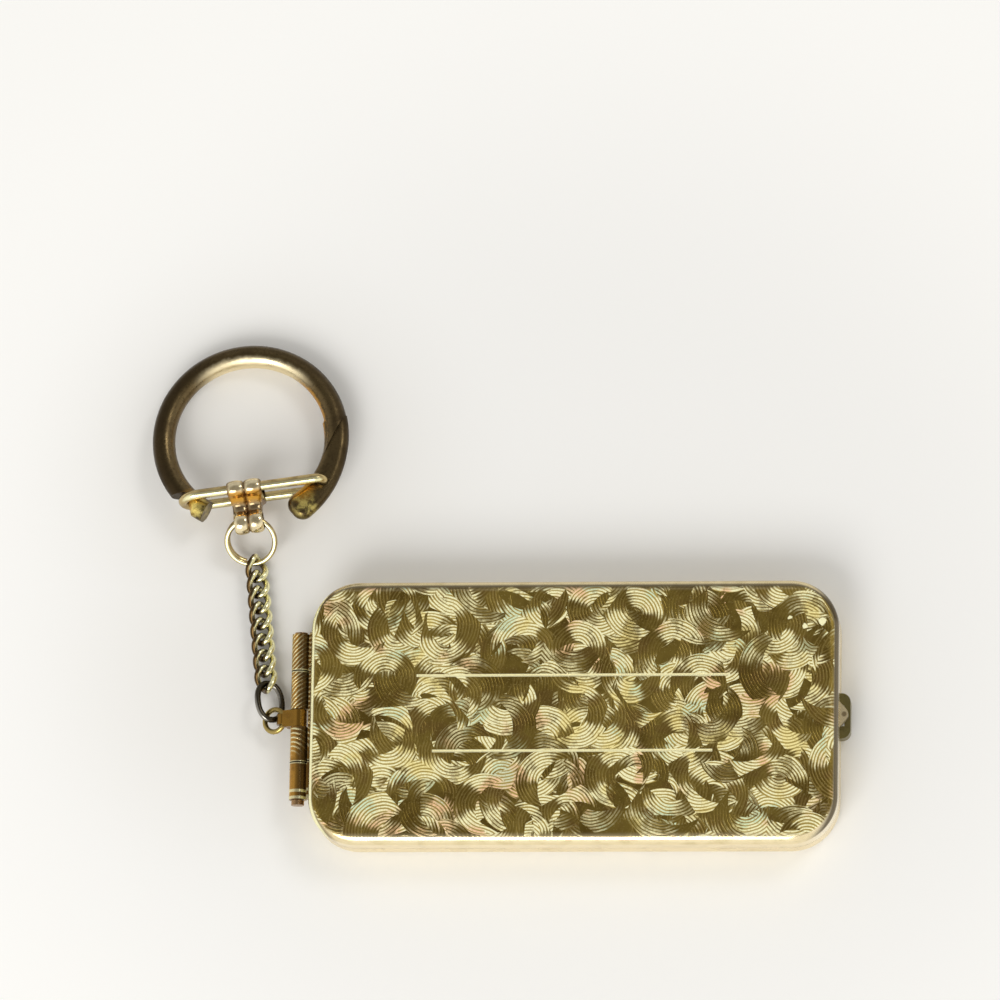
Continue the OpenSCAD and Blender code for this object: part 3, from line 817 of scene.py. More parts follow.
@dataclass(frozen=True)
class EngravedBrass(Finish):
    """Rolled brass, brown-gold with engraved ridges painted bright, painted shade on its right side and a
    painted highlight along its left edge.

    The gaps between knuckles and the rings at the pin's head are places along the barrel.
    """

    name: str = "engraved_rolled_brass"
    metallic: float = 0.9
    amount: float = 0.8
    scale: float = 0.4
    depth: float = 0.00004
    base: Tone = Tone.AMBER_BRASS
    tarnish: Tone = Tone.BROWN_BRASS
    dark: Tone = Tone.DARK_BROWN
    bright: Tone = Tone.CREAM_GOLD
    gaps: tuple[float, float] = (5.76, -5.76)
    rings: tuple[float, float] = (-9.35, -10.2)

    def paint(self, d: Dressing) -> None:
        """Engraves the ridges, paints shade on the right side, highlights on the left edge and at the rings
        of the pin's head, and shade in the gaps between knuckles with highlights beside them.

        Args:
            d: The finish being made.
        """
        g = d.graph
        right, left = (1.0, 0.0, 0.0), (-1.0, 0.0, 0.0)
        wear = self.worn(d, self.base, self.tarnish)
        lines = g.group(d.effects.rolled_lines, Place=d.place)
        # Painted shade on the side facing +X, and a painted highlight along the edge facing -X.
        colour = g.over(wear.outputs["Colour"], d.facing(right, -0.35, 0.4), 0.85, self.dark)
        colour = g.over(colour, d.facing(left, 0.86, 0.95), 0.6, self.bright)
        # The ridges are painted bright, less so towards the shaded side.
        ridge = g.times(lines.outputs["Line"], g.scaled(d.facing(right, -0.3, 0.5), -0.7, 0.76))
        colour = g.mix(ridge, colour, self.bright)
        y = g.split(d.place)[1]
        # Painted highlight bands at the rings of the pin's head and beside the gaps, and painted shade in
        # the gaps themselves.
        colour = g.over(colour, self.bands(g, y, self.rings, 0.22), 0.7, self.bright)
        colour = g.over(colour, self.bands(g, y, self.gaps, 0.24), 0.6, self.bright)
        d.set("Base Color", g.mix(self.bands(g, y, self.gaps, 0.1), colour, self.dark))
        d.set("Roughness", wear.outputs["Roughness"])
        d.bump(lines.outputs["Height"], self.depth, 0.7)

    @staticmethod
    def bands(g: Graph, y: Socket, places: tuple[float, ...], half: float) -> Socket:
        """A mask of narrow bands across the barrel.

        Args:
            g: The material's graph.
            y: Place along the barrel.
            places: The bands' middles.
            half: Half their width.

        Returns:
            The mask's socket.
        """
        mask: Feed = 0.0
        for place in places:
            mask = g.larger(g.step(g.off(y, place), half, 0.6 * half), mask)
        return mask


@dataclass(frozen=True)
class ChainGold(Finish):
    """Worn gold wire, with a painted highlight on the right of the chain's middle line, brown elsewhere as
    painted shade, and darker painted shade low down in the twist's hollows.

    The middle line has its start in plan, and drifts along X by a share of its way along Y.
    """

    name: str = "chain_gold"
    roughness: float = 0.16
    amount: float = 0.5
    scale: float = 0.8
    pale: Tone = Tone.CREAM_GOLD
    brown: Tone = Tone.CHAIN_BROWN
    tarnish_and_low_shade: Tone = Tone.DARK_BROWN
    start: tuple[float, float] = (-38.9, 5.27)
    drift: float = -0.1086

    def paint(self, d: Dressing) -> None:
        """Paints a highlight on one side, and paints shade in the hollows and on the underside.

        Args:
            d: The finish being made.
        """
        g = d.graph
        x, y, z = g.split(d.place)
        start_x, start_y = self.start
        middle = g.scaled(g.math("SUBTRACT", y, start_y), self.drift, start_x)
        right = g.math("SUBTRACT", x, middle)
        # A painted highlight where the wire faces right and up, right of the middle line; the rest keeps the
        # worn brown as painted shade.
        lean = g.dot(d.normal, (0.75, -0.15, 0.35))
        rough = g.noise(d.place, 1.1, 3.0, 0.6)
        facing = g.step(g.scaled(rough, 0.4, g.scaled(right, 0.46, lean)), 0.16, 0.7)
        wear = self.worn(d, self.brown, self.tarnish_and_low_shade)
        colour = g.mix(facing, wear.outputs["Colour"], self.pale)
        # Painted shade low down, under and between the links; the same tone is also the wear's tarnish.
        self.close(d, g.over(colour, g.step(z, 1.3, 0.7), 0.7, self.tarnish_and_low_shade), wear)


@dataclass(frozen=True, kw_only=True)
class RibbedClevis(Finish):
    """Pale gold strip with two round ribs side by side, with painted shade in the groove between them and at
    its edges, and a painted orange glow on its darker waist.

    It has the middle of the split ring's eye, the ways along the bar and away to the hoop, and the
    width of a rib.
    """

    name: str = "ribbed_clevis_gold"
    roughness: float = 0.12
    scale: float = 0.8
    pale: Tone = Tone.PALE_GOLD
    dark: Tone = Tone.BROWN_BRASS
    waist: Tone = Tone.ORANGE_GOLD
    eye: Triple
    along: Triple
    away: Triple
    rib: float

    def paint(self, d: Dressing) -> None:
        """Paints shade in the groove between the ribs and at the edges, and darkens the waist, with a
        painted orange glow on it towards the bar.

        Args:
            d: The finish being made.
        """
        g = d.graph
        from_eye = g.vector("SUBTRACT", d.place, self.eye)
        side = g.math("ABSOLUTE", g.dot(from_eye, self.along))
        rise = g.dot(from_eye, self.away)
        half = g.math("SINE", g.times(side, math.pi / self.rib))
        rib = g.times(half, half)
        wear = self.worn(d, self.pale, self.dark)
        # The waist is darker, with a painted orange glow towards the bar.
        waist = g.times(g.step(rise, 0.7, 1.2), g.step(rise, 3.2, 2.7))
        glow = g.step(g.off(rise, 2.75), 0.75, 0.2)
        colour = g.over(wear.outputs["Colour"], waist, 0.7, self.dark)
        colour = g.over(colour, glow, 0.9, self.waist)
        # Painted shade in the groove between the ribs and at the strip's edges.
        self.close(d, g.over(colour, g.step(rib, 0.3, 0.0), 0.7, self.dark), wear)


@dataclass(frozen=True)
class WornHoop(Finish):
    """Worn gold-plated tube, with painted shade on its outer side and a painted highlight band along the
    inside of its far arc.

    The radius is that of the tube's middle line, and the glints and feet are places from its centre.
    """

    name: str = "worn_hoop_gold"
    roughness: float = 0.26
    amount: float = 0.85
    scale: float = 0.2
    depth: float = 0.00002
    dark: Tone = Tone.HOOP_OLIVE
    deep: Tone = Tone.DARK_BROWN
    mid: Tone = Tone.HOOP_BROWN
    pale: Tone = Tone.PALE_GOLD
    orange: Tone = Tone.ORANGE_GOLD
    foot: Tone = Tone.LEMON
    centre: Triple = (-41.381, 35.6045, 2.94342)
    radius: float = 10.9
    glints: tuple[Triple, Triple] = ((6.9, -7.1, 0.0), (-7.0, -8.5, 0.0))
    feet: tuple[Triple, Triple] = ((7.3, -8.8, 0.0), (-6.4, -9.0, 0.0))

    def paint(self, d: Dressing) -> None:
        """Paints shade and highlights round the hoop's centre by the way each part faces, with painted
        orange glints and lemon highlight specks at its two feet.

        Args:
            d: The finish being made.
        """
        g = d.graph
        wear = self.worn(d, self.dark, self.deep)
        x, y, _ = g.split(g.vector("SUBTRACT", d.place, self.centre))
        rough = g.noise(d.place, 0.9, 4.0, 0.65)
        inward = g.math("DIVIDE", g.dot(d.normal, g.join(x, y)), -self.radius)
        turned = g.scaled(g.math("SUBTRACT", rough, 0.5), 0.5, inward)
        # A little painted light, mid brown, on the faces turned inward.
        colour = g.over(wear.outputs["Colour"], g.step(turned, 0.15, 0.8), 0.25, self.mid)
        pits = g.step(g.noise(d.place, 3.2, 3.0, 0.7), 0.52, 0.66)
        colour = g.over(colour, pits, 0.45, self.deep)
        # Painted shade on the faces turned outward, darkest on the left arc.
        left = g.times(g.step(x, -4.0, -8.0), g.step(inward, 0.4, -0.3))
        colour = g.over(colour, left, 0.75, self.deep)
        colour = g.over(colour, g.step(turned, 0.0, -0.6), 0.5, self.deep)
        # A painted highlight band along the inside of the far arc.
        far = g.times(g.step(y, 4.5, 9.0), g.step(g.off(x, 0.3), 8.2, 4.6))
        colour = g.over(colour, g.step(turned, -0.05, 0.45), far, self.pale)
        # A painted orange highlight on the inner edge of the right arc.
        right = g.times(g.step(x, 5.0, 7.5), g.times(g.step(y, -1.0, 2.0), g.step(turned, 0.62, 0.8)))
        colour = g.over(colour, right, 0.85, self.orange)
        # Painted orange glints at the two feet.
        for spot in self.glints:
            off = g.distance(g.join(x, y), spot)
            colour = g.over(colour, g.step(off, 2.0, 0.5), 0.85, self.orange)
        # The specks at the feet are painted lemon highlights.
        for spot in self.feet:
            off = g.distance(g.join(x, y), spot)
            specks = g.times(g.step(off, 2.1, 0.4), g.step(rough, 0.38, 0.58))
            colour = g.over(colour, specks, 0.85, self.foot)
        self.close(d, colour, wear, 0.7)


def add_mesh(name: str, points: np.ndarray, faces: list[tuple[int, ...]], smooth: int) -> bpy.types.Object:
    """A mesh object in the scene.

    Args:
        name: The object's name.
        points: Its points in millimetres, one a row.
        faces: Its faces, as numbers of points.
        smooth: How many faces, counted from the first, are shaded smooth.

    Returns:
        The object.
    """
    data = bpy.data.meshes.new(name)
    data.from_pydata((points * MM).tolist(), [], faces)
    data.polygons.foreach_set("use_smooth", [number < smooth for number in range(len(faces))])
    data.update()
    made = bpy.data.objects.new(name, data)
    bpy.context.scene.collection.objects.link(made)
    return made


def unit(vectors: np.ndarray) -> np.ndarray:
    """The vectors of an array, one a row, each made 1 long."""
    return vectors / np.linalg.norm(vectors, axis=1, keepdims=True)


def around(degrees: np.ndarray) -> np.ndarray:
    """Points of a circle of radius 1 at some angles, one a row."""
    turn = np.radians(degrees)
    return np.column_stack([np.cos(turn), np.sin(turn)])


class Wire:
    """Smooth round wire swept along a path, an open one with its ends' edges rounded."""

    SIDES = 20
    END_EDGE = 0.3
    END_RINGS = 5

    @classmethod
    def rings(cls, path: np.ndarray, out: np.ndarray, radius: np.ndarray, closed: bool) -> np.ndarray:
        """Rings of points round a path.

        Args:
            path: The path's points, one a row.
            out: A vector a row that shows where each ring starts.
            radius: Wire radius at each point.
            closed: Whether the path's end meets its start.

        Returns:
            An array of rings by sides by 3.
        """
        if closed:
            tangent = np.roll(path, -1, axis=0) - np.roll(path, 1, axis=0)
        else:
            tangent = np.gradient(path, axis=0)
        tangent = unit(tangent)
        side = unit(out - (out * tangent).sum(axis=1, keepdims=True) * tangent)
        other = np.cross(tangent, side)
        turn = np.arange(cls.SIDES) * 2.0 * math.pi / cls.SIDES
        across = np.cos(turn)[None, :, None] * side[:, None, :]
        ring = across + np.sin(turn)[None, :, None] * other[:, None, :]
        return path[:, None, :] + radius[:, None, None] * ring

    @classmethod
    def mesh(
        cls, name: str, path: np.ndarray, out: np.ndarray, radius: float, closed: bool = True
    ) -> bpy.types.Object:
        """An object of wire.

        Args:
            name: The object's name.
            path: The path's points in millimetres.
            out: Start direction of each ring.
            radius: Wire radius in millimetres.
            closed: Whether the path's end meets its start.

        Returns:
            The object.
        """
        radii = np.full(len(path), radius)
        if not closed:
            path, out, radii = cls.round_ends(path, out, radius)
        points = cls.rings(path, out, radii, closed).reshape(-1, 3)
        count, sides = len(path), cls.SIDES
        faces = []
        for ring in range(count if closed else count - 1):
            here, ahead = ring * sides, (ring + 1) % count * sides
            for side in range(sides):
                after = (side + 1) % sides
                faces.append((here + side, here + after, ahead + after, ahead + side))
        if not closed:
            faces.append(tuple(range(sides - 1, -1, -1)))
            faces.append(tuple(range((count - 1) * sides, count * sides)))
        return add_mesh(name, points, faces, len(faces))

    @classmethod
    def round_ends(
        cls, path: np.ndarray, out: np.ndarray, radius: float
    ) -> tuple[np.ndarray, np.ndarray, np.ndarray]:
        """Puts a small rounded edge in place of two points at either end of an open path.

        Args:
            path: The path's points.
            out: Start direction of each ring.
            radius: Wire radius.

        Returns:
            The longer path, its ring directions and its radii.
        """
        count = cls.END_RINGS
        edge = cls.END_EDGE * radius
        steps = np.linspace(0.0, math.pi / 2, count)
        head = (path[0] - path[1]) / np.linalg.norm(path[0] - path[1])
        tail = (path[-1] - path[-2]) / np.linalg.norm(path[-1] - path[-2])
        first = path[0] + edge * head * (np.sin(steps) - 1.0)[::-1, None]
        last = path[-1] + edge * tail * (np.sin(steps) - 1.0)[:, None]
        shrink = radius - edge + edge * np.cos(steps)
        inner = slice(2, -2)
        longer = np.vstack([first, path[inner], last])
        ways = np.vstack([np.repeat(out[:1], count, axis=0), out[inner], np.repeat(out[-1:], count, axis=0)])
        radii = np.concatenate([shrink[::-1], np.full(len(path[inner]), radius), shrink])
        return longer, ways, radii


def heading(lead: float, fall: float, roll: float) -> np.ndarray:
    """Turns a loop drawn along +Y to its heading.

    Args:
        lead: Degrees to the left of +Y.
        fall: Degrees below level.
        roll: Degrees about its own length.

    Returns:
        The rotation as a 3 by 3 array.
    """
    turn = Matrix.Rotation(math.radians(lead), 3, "Z")
    turn = turn @ Matrix.Rotation(math.radians(-fall), 3, "X") @ Matrix.Rotation(math.radians(-roll), 3, "Y")
    return np.array(turn)


@dataclass(frozen=True)
class LinkShape:
    """A closed link of round wire, its two ends twisted opposite ways by some degrees.

    A squareness of 1 gives an ellipse, and a smaller one a squarer loop.
    """

    wire: float
    half_length: float
    half_width: float
    twist: float
    squareness: float
    points: int = 96

    def path(self) -> np.ndarray:
        """Middle of the wire, lengthwise along +Y.

        Returns:
            Its points, one a row.
        """
        t = (np.arange(self.points) + 0.5) * 2.0 * math.pi / self.points
        y = self.half_length * np.sign(np.cos(t)) * np.abs(np.cos(t)) ** self.squareness
        w = self.half_width * np.sign(np.sin(t)) * np.abs(np.sin(t)) ** self.squareness
        turn = np.radians(-self.twist * y / self.half_length)
        return np.column_stack([w * np.cos(turn), y, w * np.sin(turn)])

    def draw(self, name: str, centre: np.ndarray, turn: np.ndarray) -> bpy.types.Object:
        """The link in the scene.

        Args:
            name: The object's name.
            centre: Where it goes.
            turn: Its rotation.

        Returns:
            The link.
        """
        placed = self.path() @ turn.T
        return Wire.mesh(name, placed + centre, placed, self.wire / 2)


@dataclass(frozen=True)
class SplitRing:
    """A coil of round wire that begins at an angle from +X, tilted up about X, both in degrees."""

    wire: float = 0.66
    radius: float = 2.98
    turns: float = 1.42
    pitch: float = 0.72
    start: float = -105.0
    tilt: float = 33.5
    centre: Triple = (-41.0182, 22.5826, 2.75449)
    points: int = 130

    def draw(self, name: str) -> bpy.types.Object:
        """The ring in the scene.

        Args:
            name: The object's name.

        Returns:
            The ring.
        """
        done = np.linspace(0.0, self.turns, self.points)
        angle = np.radians(self.start - 360.0 * done)
        out = np.column_stack([np.cos(angle), np.sin(angle), np.zeros(self.points)])
        path = out * self.radius
        path[:, 2] = (done - self.turns / 2) * self.pitch
        turn = np.array(Matrix.Rotation(math.radians(self.tilt), 3, "X"))
        placed = path @ turn.T + np.array(self.centre)
        return Wire.mesh(name, placed, out @ turn.T, self.wire / 2, closed=False)


class Skin:
    """Points and faces of a surface that is built of closed lines."""

    def __init__(self) -> None:
        """Starts with nothing."""
        self.points: list[tuple[float, float, float]] = []
        self.faces: list[tuple[int, ...]] = []

    def line(self, flat: np.ndarray, side: np.ndarray) -> range:
        """Adds a closed line.

        Args:
            flat: Its places in the plane across the width.
            side: Its places along the width.

        Returns:
            The numbers of its points.
        """
        first = len(self.points)
        self.points.extend(zip(side, flat[:, 0], flat[:, 1]))
        return range(first, len(self.points))

    def join(self, first: range, second: range, flip: bool) -> None:
        """Joins two lines of equal length by faces.

        Args:
            first: The numbers of the first line's points.
            second: The same of the second.
            flip: Whether the faces are turned over.
        """
        count = len(first)
        for index in range(count):
            after = (index + 1) % count
            face = (first[index], first[after], second[after], second[index])
            self.faces.append(face[::-1] if flip else face)

    def cap(self, loops: list[range], ahead: bool) -> None:
        """Fills one side, between an outer line and the holes in it.

        Args:
            loops: The lines' numbers, the outer one first.
            ahead: Whether the side faces along the width, and not back.
        """
        index = [number for loop in loops for number in loop]
        flat = [[Vector((*self.points[number][1:], 0.0)) for number in loop] for loop in loops]
        for face in tessellate_polygon(flat):
            a, b, c = (Vector(self.points[index[vertex]][1:]) for vertex in face)
            faces_ahead = (b - a).cross(c - a) > 0.0
            ordered = face if faces_ahead == ahead else face[::-1]
            self.faces.append(tuple(index[vertex] for vertex in ordered))


@dataclass(frozen=True)
class Clevis:
    """A strip folded round the bar's two legs, with two ribs side by side and an eye for the split ring.

    Its section has distances towards the hoop and heights, counted from the middle between the legs.
    """

    bar_out: float = 1.1
    bar_bore: float = 0.68
    bar_leg: float = 2.1
    eye_out: float = 1.47
    eye_bore: float = 1.05
    length: float = 3.85
    wide: float = 2.15
    slim: float = 1.8
    taper: tuple[float, float] = (-1.7, -0.7)
    groove: float = 0.36
    neck: tuple[tuple[float, float], ...] = ((-1.1, 1.91), (-1.4, 1.65), (-1.9, 0.95))
    eye_start: float = 40.3
    spacing: float = 0.12
    rounding: int = 6
    rib_steps: int = 13

    def outline(self) -> np.ndarray:
        """Outside of the section, with its corners rounded.

        Returns:
            Points of a closed line.
        """
        over = around(np.linspace(0.0, 180.0, 19))
        under = around(np.linspace(self.eye_start, 180.0, 15))
        upper = np.vstack([
            [[self.bar_out, 0.0]],
            self.bar_out * over + (0.0, self.bar_leg),
            self.neck,
            self.eye_out * under - (self.length, 0.0),
        ])
        corners = np.vstack([upper, (upper * (1.0, -1.0))[-2:0:-1]])
        points = []
        for start, end in zip(corners, np.roll(corners, -1, axis=0)):
            count = max(1, round(float(np.linalg.norm(end - start)) / self.spacing))
            points += [start + (end - start) * step / count for step in range(count)]
        line = np.array(points)
        for _ in range(self.rounding):
            line = (np.roll(line, 1, axis=0) + 2.0 * line + np.roll(line, -1, axis=0)) / 4.0
        return line

    def holes(self) -> tuple[np.ndarray, np.ndarray]:
        """Sections of the two holes through the strip.

        Returns:
            Closed lines of the slot for the bar's legs and of the eye.
        """
        ring = around(np.arange(0.0, 360.0, 10.0))
        shift = np.where(ring[:, 1] >= 0.0, self.bar_leg, -self.bar_leg)
        slot = ring * self.bar_bore + np.column_stack([np.zeros(len(ring)), shift])
        return slot, ring * self.eye_bore - (self.length, 0.0)

    def half_width(self, flat: np.ndarray) -> np.ndarray:
        """Half the strip's width at each point of a section."""
        return np.interp(flat[:, 0], self.taper, (self.slim, self.wide))

    def draw(self, name: str, axes: np.ndarray, centre: Triple) -> bpy.types.Object:
        """The clevis in the scene.

        Args:
            name: The object's name.
            axes: Its directions along the bar, towards the hoop and up, one a row.
            centre: The middle between the bar's legs.

        Returns:
            The clevis.
        """
        outer = self.outline()
        tangent = unit(np.roll(outer, -1, axis=0) - np.roll(outer, 1, axis=0))
        inward = np.column_stack([-tangent[:, 1], tangent[:, 0]])
        arch = np.radians(np.linspace(0.0, 180.0, self.rib_steps))
        places = np.concatenate([(-1.0 - np.cos(arch)) / 2.0, (1.0 - np.cos(arch[1:])) / 2.0])
        rises = np.concatenate([np.sin(arch), np.sin(arch[1:])])
        skin = Skin()
        rows = []
        for place, rise in zip(places, rises):
            flat = outer + inward * self.groove * (1.0 - rise)
            rows.append(skin.line(flat, place * self.half_width(flat)))
        for first, second in zip(rows, rows[1:]):
            skin.join(first, second, True)
        ribbed = len(skin.faces)
        sides = [[rows[0]], [rows[-1]]]
        for hole in self.holes():
            half = self.half_width(hole)
            pair = skin.line(hole, -half), skin.line(hole, half)
            skin.join(*pair, False)
            for side, line in zip(sides, pair):
                side.append(line)
        for side, ahead in zip(sides, (False, True)):
            skin.cap(side, ahead)
        return add_mesh(name, np.array(skin.points) @ axes + np.array(centre), skin.faces, ribbed)


@dataclass
class SubAssembly:
    """Pieces that are built together.

    Attributes:
        effects: The shared shader groups.
    """

    frame: dict
    effects: Effects

    def build(self) -> None:
        """Dresses or redraws each piece."""
        raise NotImplementedError

    def dress(self, material: bpy.types.Material, *names: str) -> None:
        """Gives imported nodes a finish.

        Args:
            material: Their finish.
            *names: The nodes.
        """
        for name in names:
            data = self.frame["nodes"][name].data
            data.materials.clear()
            data.materials.append(material)
            for polygon in data.polygons:
                polygon.material_index = 0
            LOG.info("dressed %s with %s", name, material.name)

    @staticmethod
    def stand_in(
        made: bpy.types.Object, node: str, body: str, slot: str, material: bpy.types.Material
    ) -> None:
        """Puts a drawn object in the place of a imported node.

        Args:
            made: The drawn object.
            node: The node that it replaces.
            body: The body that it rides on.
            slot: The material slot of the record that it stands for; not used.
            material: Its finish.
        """
        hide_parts(node)
        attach(made, body)
        made.data.materials.append(material)
        LOG.info("drew %s in place of %s", made.name, node)


@dataclass
class PlateCase(SubAssembly):
    """The two drawn shells: the swirl-engraved lid and the plain base."""

    def build(self) -> None:
        """Dresses both shells."""
        self.dress(SwirlGold().build(self.effects), "lid_shell")
        plain = PlatedMetal(
            "plain_pale_gold", base=Tone.PALE_GOLD, tarnish=Tone.OLIVE_GOLD, amount=0.25, scale=0.25
        )
        self.dress(plain.build(self.effects), "base_shell")


@dataclass
class BarrelHinge(SubAssembly):
    """Two rolled leaves on a headed pin."""

    def build(self) -> None:
        """Dresses the leaves and the pin."""
        self.dress(EngravedBrass().build(self.effects), "base_hinge_leaf", "lid_hinge_leaf")
        pin = PlatedMetal("brown_brass_pin", base=Tone.PIN_BRASS, tarnish=Tone.BROWN_BRASS, amount=0.5)
        self.dress(pin.build(self.effects), "hinge_pin")


@dataclass
class PushLatch(SubAssembly):
    """The push button, its leaf spring and rivets, and the lid's catch."""

    def build(self) -> None:
        """Dresses the latch."""
        button = PlatedMetal("dark_button", base=Tone.BUTTON_GOLD, tarnish=Tone.DARK_BROWN, roughness=0.3)
        self.dress(button.build(self.effects), "push_button")
        steel = PlatedMetal("spring_steel", base=Tone.BRIGHT_STEEL, tarnish=Tone.GRAPHITE, amount=0.3)
        self.dress(steel.build(self.effects), "latch_spring", "spring_rivets", "lid_catch")


@dataclass
class CurbChain(SubAssembly):
    """The strap on the hinge pin, its jump ring, the dark oval link and eight twisted curb links."""

    curb: LinkShape = LinkShape(0.78, 1.49, 1.09, 54.0, 0.85)
    lead: float = 6.2
    fall: float = 0.7
    first_roll: float = 12.0
    roll_step: float = -6.0
    first: Triple = (-38.8997, 5.26995, 1.4929)
    last: Triple = (-40.4343, 19.3958, 1.3193)
    links: int = 8
    oval: LinkShape = LinkShape(0.76, 2.445, 1.62, 0.0, 0.9)
    oval_centre: Triple = (-38.302, 2.34672, 1.86664)
    oval_heading: Triple = (8.0, 11.0, -32.0)

    def build(self) -> None:
        """Dresses the strap and the jump ring, and draws the links."""
        strap = PlatedMetal(
            "brass_strap", base=Tone.STRAP_BRASS, tarnish=Tone.BROWN_BRASS, amount=0.7, roughness=0.2
        )
        self.dress(strap.build(self.effects), "chain_strap")
        ring = PlatedMetal(
            "jump_ring_gold", base=Tone.OLIVE_GOLD, tarnish=Tone.BROWN_BRASS, amount=0.5, roughness=0.2
        )
        self.dress(ring.build(self.effects), "jump_ring")
        steel = PlatedMetal(
            "dark_link_steel", base=Tone.DARK_STEEL, tarnish=Tone.DARK_BROWN, amount=0.7, roughness=0.16,
            glint=Tone.LINK_GLINT, glint_way=(-0.45, -0.45, 0.77),
        )
        oval = self.oval.draw("oval_link_wire", np.array(self.oval_centre), heading(*self.oval_heading))
        self.stand_in(oval, "oval_link", "oval_link", "dark_steel", steel.build(self.effects))
        gold = ChainGold().build(self.effects)
        start, end = np.array(self.first), np.array(self.last)
        for index in range(self.links):
            name = f"chain_link_{index + 1}"
            centre = start + (end - start) * index / (self.links - 1)
            turn = heading(self.lead, self.fall, self.first_roll + index * self.roll_step)
            self.stand_in(self.curb.draw(f"{name}_wire", centre, turn), name, name, "chain_metal", gold)


@dataclass
class KeyRingGate(SubAssembly):
    """The split ring, the ribbed clevis, the hairpin bar and the key hoop."""

    split_ring: SplitRing = SplitRing()
    clevis: Clevis = Clevis()
    bar_x: Triple = (0.990748, 0.134816, -0.0155988)
    bar_y: Triple = (-0.135716, 0.984182, -0.113874)
    bar_centre: Triple = (-41.6207, 28.429, 3.77366)
    eye_centre: Triple = (-41.0982, 24.6399, 4.21208)

    def build(self) -> None:
        """Draws the split ring and the clevis, and dresses the bar and the hoop."""
        pale = PlatedMetal(
            "bright_ring_gold", base=Tone.BAR_GOLD, tarnish=Tone.BROWN_BRASS, amount=0.5, scale=0.7,
            roughness=0.13, glint=Tone.CREAM_GOLD,
        )
        bright = pale.build(self.effects)
        ring = self.split_ring.draw("split_ring_wire")
        self.stand_in(ring, "split_ring", "split_ring", "gold_wire", bright)
        self.dress(bright, "gate_bar")
        axes = np.array([self.bar_x, self.bar_y, np.cross(self.bar_x, self.bar_y)])
        clevis = self.clevis.draw("ring_clevis_ribs", axes, self.bar_centre)
        ribbed = RibbedClevis(eye=self.eye_centre, along=self.bar_x, away=self.bar_y, rib=self.clevis.wide)
        self.stand_in(clevis, "ring_clevis", "clevis", "gold_wire", ribbed.build(self.effects))
        self.dress(WornHoop().build(self.effects), "key_hoop")


@dataclass(frozen=True)
class Lamp:
    """A square soft lamp, in metres and watts."""

    name: str
    place: Triple
    aim: Triple
    side: float
    power: float

    def hang(self) -> None:
        """Puts the lamp in the scene, pointing at its aim."""
        data = bpy.data.lights.new(self.name, "AREA")
        data.shape = "SQUARE"
        data.size = self.side
        data.energy = self.power
        made = bpy.data.objects.new(self.name, data)
        made.location = self.place
        made.rotation_mode = "QUATERNION"
        made.rotation_quaternion = (Vector(self.aim) - Vector(self.place)).to_track_quat("-Z", "Y")
        bpy.context.scene.collection.objects.link(made)


@dataclass(frozen=True)
class Patch:
    """A round soft patch of the table: its middle, and the distances from it where it is 0 and 1."""

    middle: Triple
    none: float
    full: float

    def mask(self, g: Graph, x: Socket, y: Socket) -> Socket:
        """Its mask at a place on the table."""
        return g.step(g.distance(g.join(x, y), self.middle), self.none, self.full)


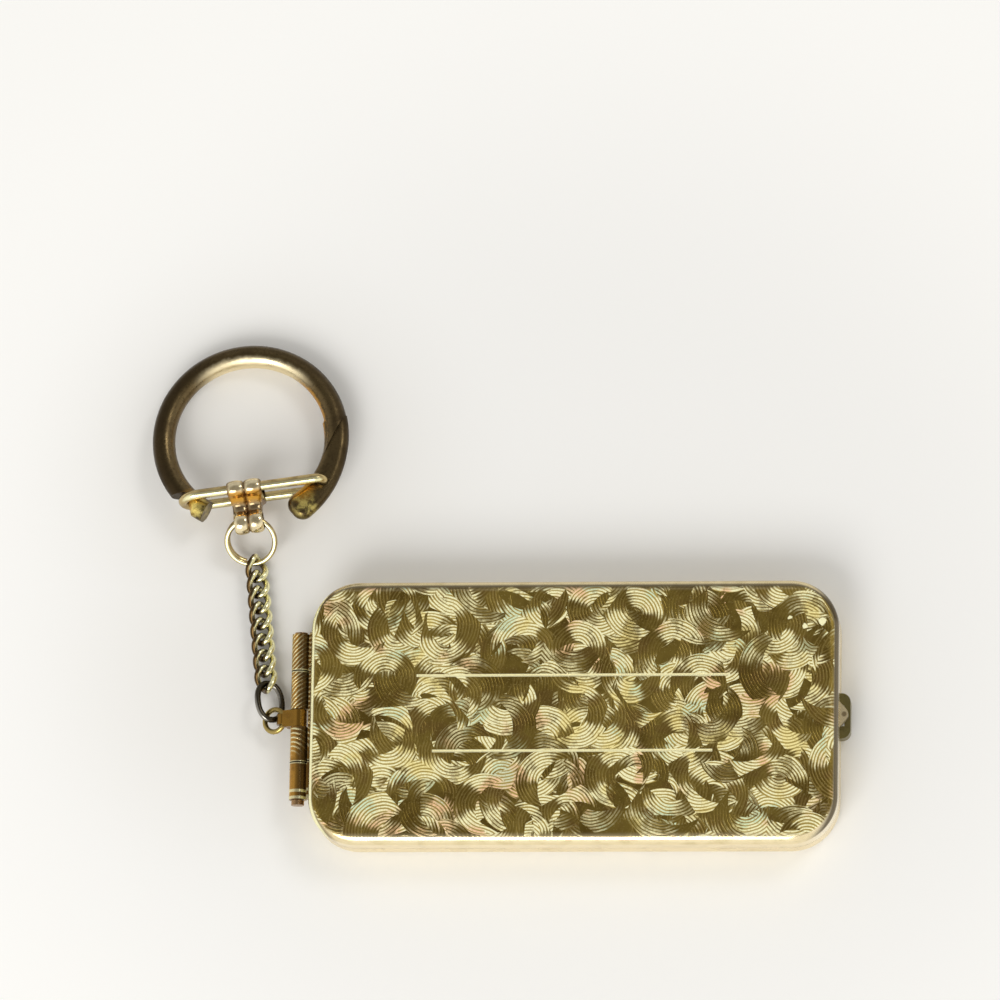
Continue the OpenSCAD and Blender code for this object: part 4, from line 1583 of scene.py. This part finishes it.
@dataclass
class Studio:
    """The pale table, soft lights and the camera, its target and distance in millimetres."""

    target: Triple = (-9.53, 26.889, 6.0)
    back: Triple = (0.108, -0.216, 0.97)
    roll: float = -0.381
    distance: float = 1000.0
    lens: float = 290.42
    sensor: float = 36.0
    clip: tuple[float, float] = (0.01, 20.0)
    table_half: float = 1200.0
    table_height: float = -0.05
    outskirts: Patch = Patch((2.0, 8.0, 0.0), 38.0, 95.0)
    hoop_shade: Patch = Patch((-41.0, 32.0, 0.0), 34.0, 4.0)
    chain_shade: Patch = Patch((-44.0, 6.0, 0.0), 30.0, 2.0)
    near_glow: Triple = (0.012, 0.012, 0.01)
    far_glow: Triple = (0.1, 0.099, 0.092)
    wall_light: Triple = (0.62, 0.62, 0.63)
    window_light: Triple = (1.12, 1.11, 1.08)
    overhead_light: Triple = (0.3, 0.29, 0.27)
    lamps: tuple[Lamp, ...] = (
        Lamp("window_lamp", (-0.3, -0.75, 0.75), (-0.01, 0.01, 0.0), 0.6, 5.4),
        Lamp("fill_lamp", (0.5, 0.45, 0.8), (0.0, 0.0, 0.0), 0.3, 1.5),
    )

    def table(self) -> None:
        """A pale table with soft painted shadows by the chain and hoop, and a glow, brighter towards the
        outskirts, that only the camera and metal see.
        """
        half = self.table_half
        flat = [(-half, -half), (half, -half), (half, half), (-half, half)]
        corners = np.array([(x, y, self.table_height) for x, y in flat])
        made = add_mesh("pale_table", corners, [(0, 1, 2, 3)], 0)
        material = bpy.data.materials.new("pale_paper")
        material.use_nodes = True
        g = Graph(material.node_tree)
        feeds = g.nodes["Principled BSDF"].inputs
        g.put(feeds["Roughness"], 0.9)
        g.put(feeds["Specular IOR Level"], 0.1)
        place = g.vector("SCALE", g.node("ShaderNodeTexCoord").outputs["Object"], 1.0 / MM)
        x, y, _ = g.split(place)
        out = self.outskirts.mask(g, x, y)
        # Soft shadows painted on the table inside the hoop and beside the chain.
        by_hoop = self.hoop_shade.mask(g, x, y)
        by_chain = self.chain_shade.mask(g, x, y)
        painted_shadow = g.larger(g.times(by_chain, 0.8), by_hoop)
        g.put(feeds["Base Color"], g.over(Tone.TABLE, painted_shadow, 0.45, Tone.TABLE_SHADE))
        ray = g.node("ShaderNodeLightPath").outputs
        seen = g.larger(ray["Is Camera Ray"], g.larger(ray["Is Glossy Ray"], ray["Is Transmission Ray"]))
        glow = g.mix(out, self.near_glow, self.far_glow)
        g.put(feeds["Emission Color"], g.mix(seen, (0.0, 0.0, 0.0), glow))
        g.put(feeds["Emission Strength"], 1.0)
        made.data.materials.append(material)

    def world(self) -> None:
        """Soft light all round, a little darker straight overhead, where the photographer stands."""
        world = bpy.data.worlds.new("soft_room")
        world.use_nodes = True
        bpy.context.scene.world = world
        g = Graph(world.node_tree)
        g.nodes.clear()
        out = g.node("ShaderNodeOutputWorld")
        light = g.node("ShaderNodeBackground")
        g.put(out.inputs[0], light.outputs[0])
        _, y, up = g.split(g.node("ShaderNodeTexCoord").outputs["Generated"])
        overhead = g.step(up, 0.62, 0.93)
        window = g.step(g.times(y, -1.0), -0.7, 0.8)
        walls = g.mix(window, self.wall_light, self.window_light)
        g.put(light.inputs["Color"], g.mix(overhead, walls, self.overhead_light))
        g.put(light.inputs["Strength"], 0.9)

    def camera(self) -> None:
        """The camera, level with the case's length as in the photograph."""
        back = Vector(self.back).normalized()
        level = (Vector((1, 0, 0)) - back * back.x).normalized()
        right = Matrix.Rotation(math.radians(self.roll), 3, back) @ level
        up = back.cross(right)
        data = bpy.data.cameras.new("camera")
        data.lens = self.lens
        data.sensor_width = self.sensor
        data.clip_start, data.clip_end = self.clip
        made = bpy.data.objects.new("camera", data)
        turn = Matrix((right, up, back)).transposed().to_4x4()
        made.matrix_world = Matrix.Translation(Vector(self.target) * MM + back * self.distance * MM) @ turn
        bpy.context.scene.collection.objects.link(made)
        bpy.context.scene.camera = made

    def build(self) -> None:
        """Sets up the table, the light and the camera."""
        bpy.context.scene.view_settings.view_transform = "Standard"
        self.table()
        self.world()
        for lamp in self.lamps:
            lamp.hang()
        self.camera()
        LOG.info("set up the table, lamps and camera")


def main() -> None:
    """Builds the scene in order."""
    logging.basicConfig(level=logging.INFO, format="%(name)s: %(message)s")
    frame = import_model()
    effects = Effects()
    Studio().build()
    for assembly in (PlateCase, BarrelHinge, PushLatch, CurbChain, KeyRingGate):
        assembly(frame, effects).build()


if __name__ == "__main__":
    main()
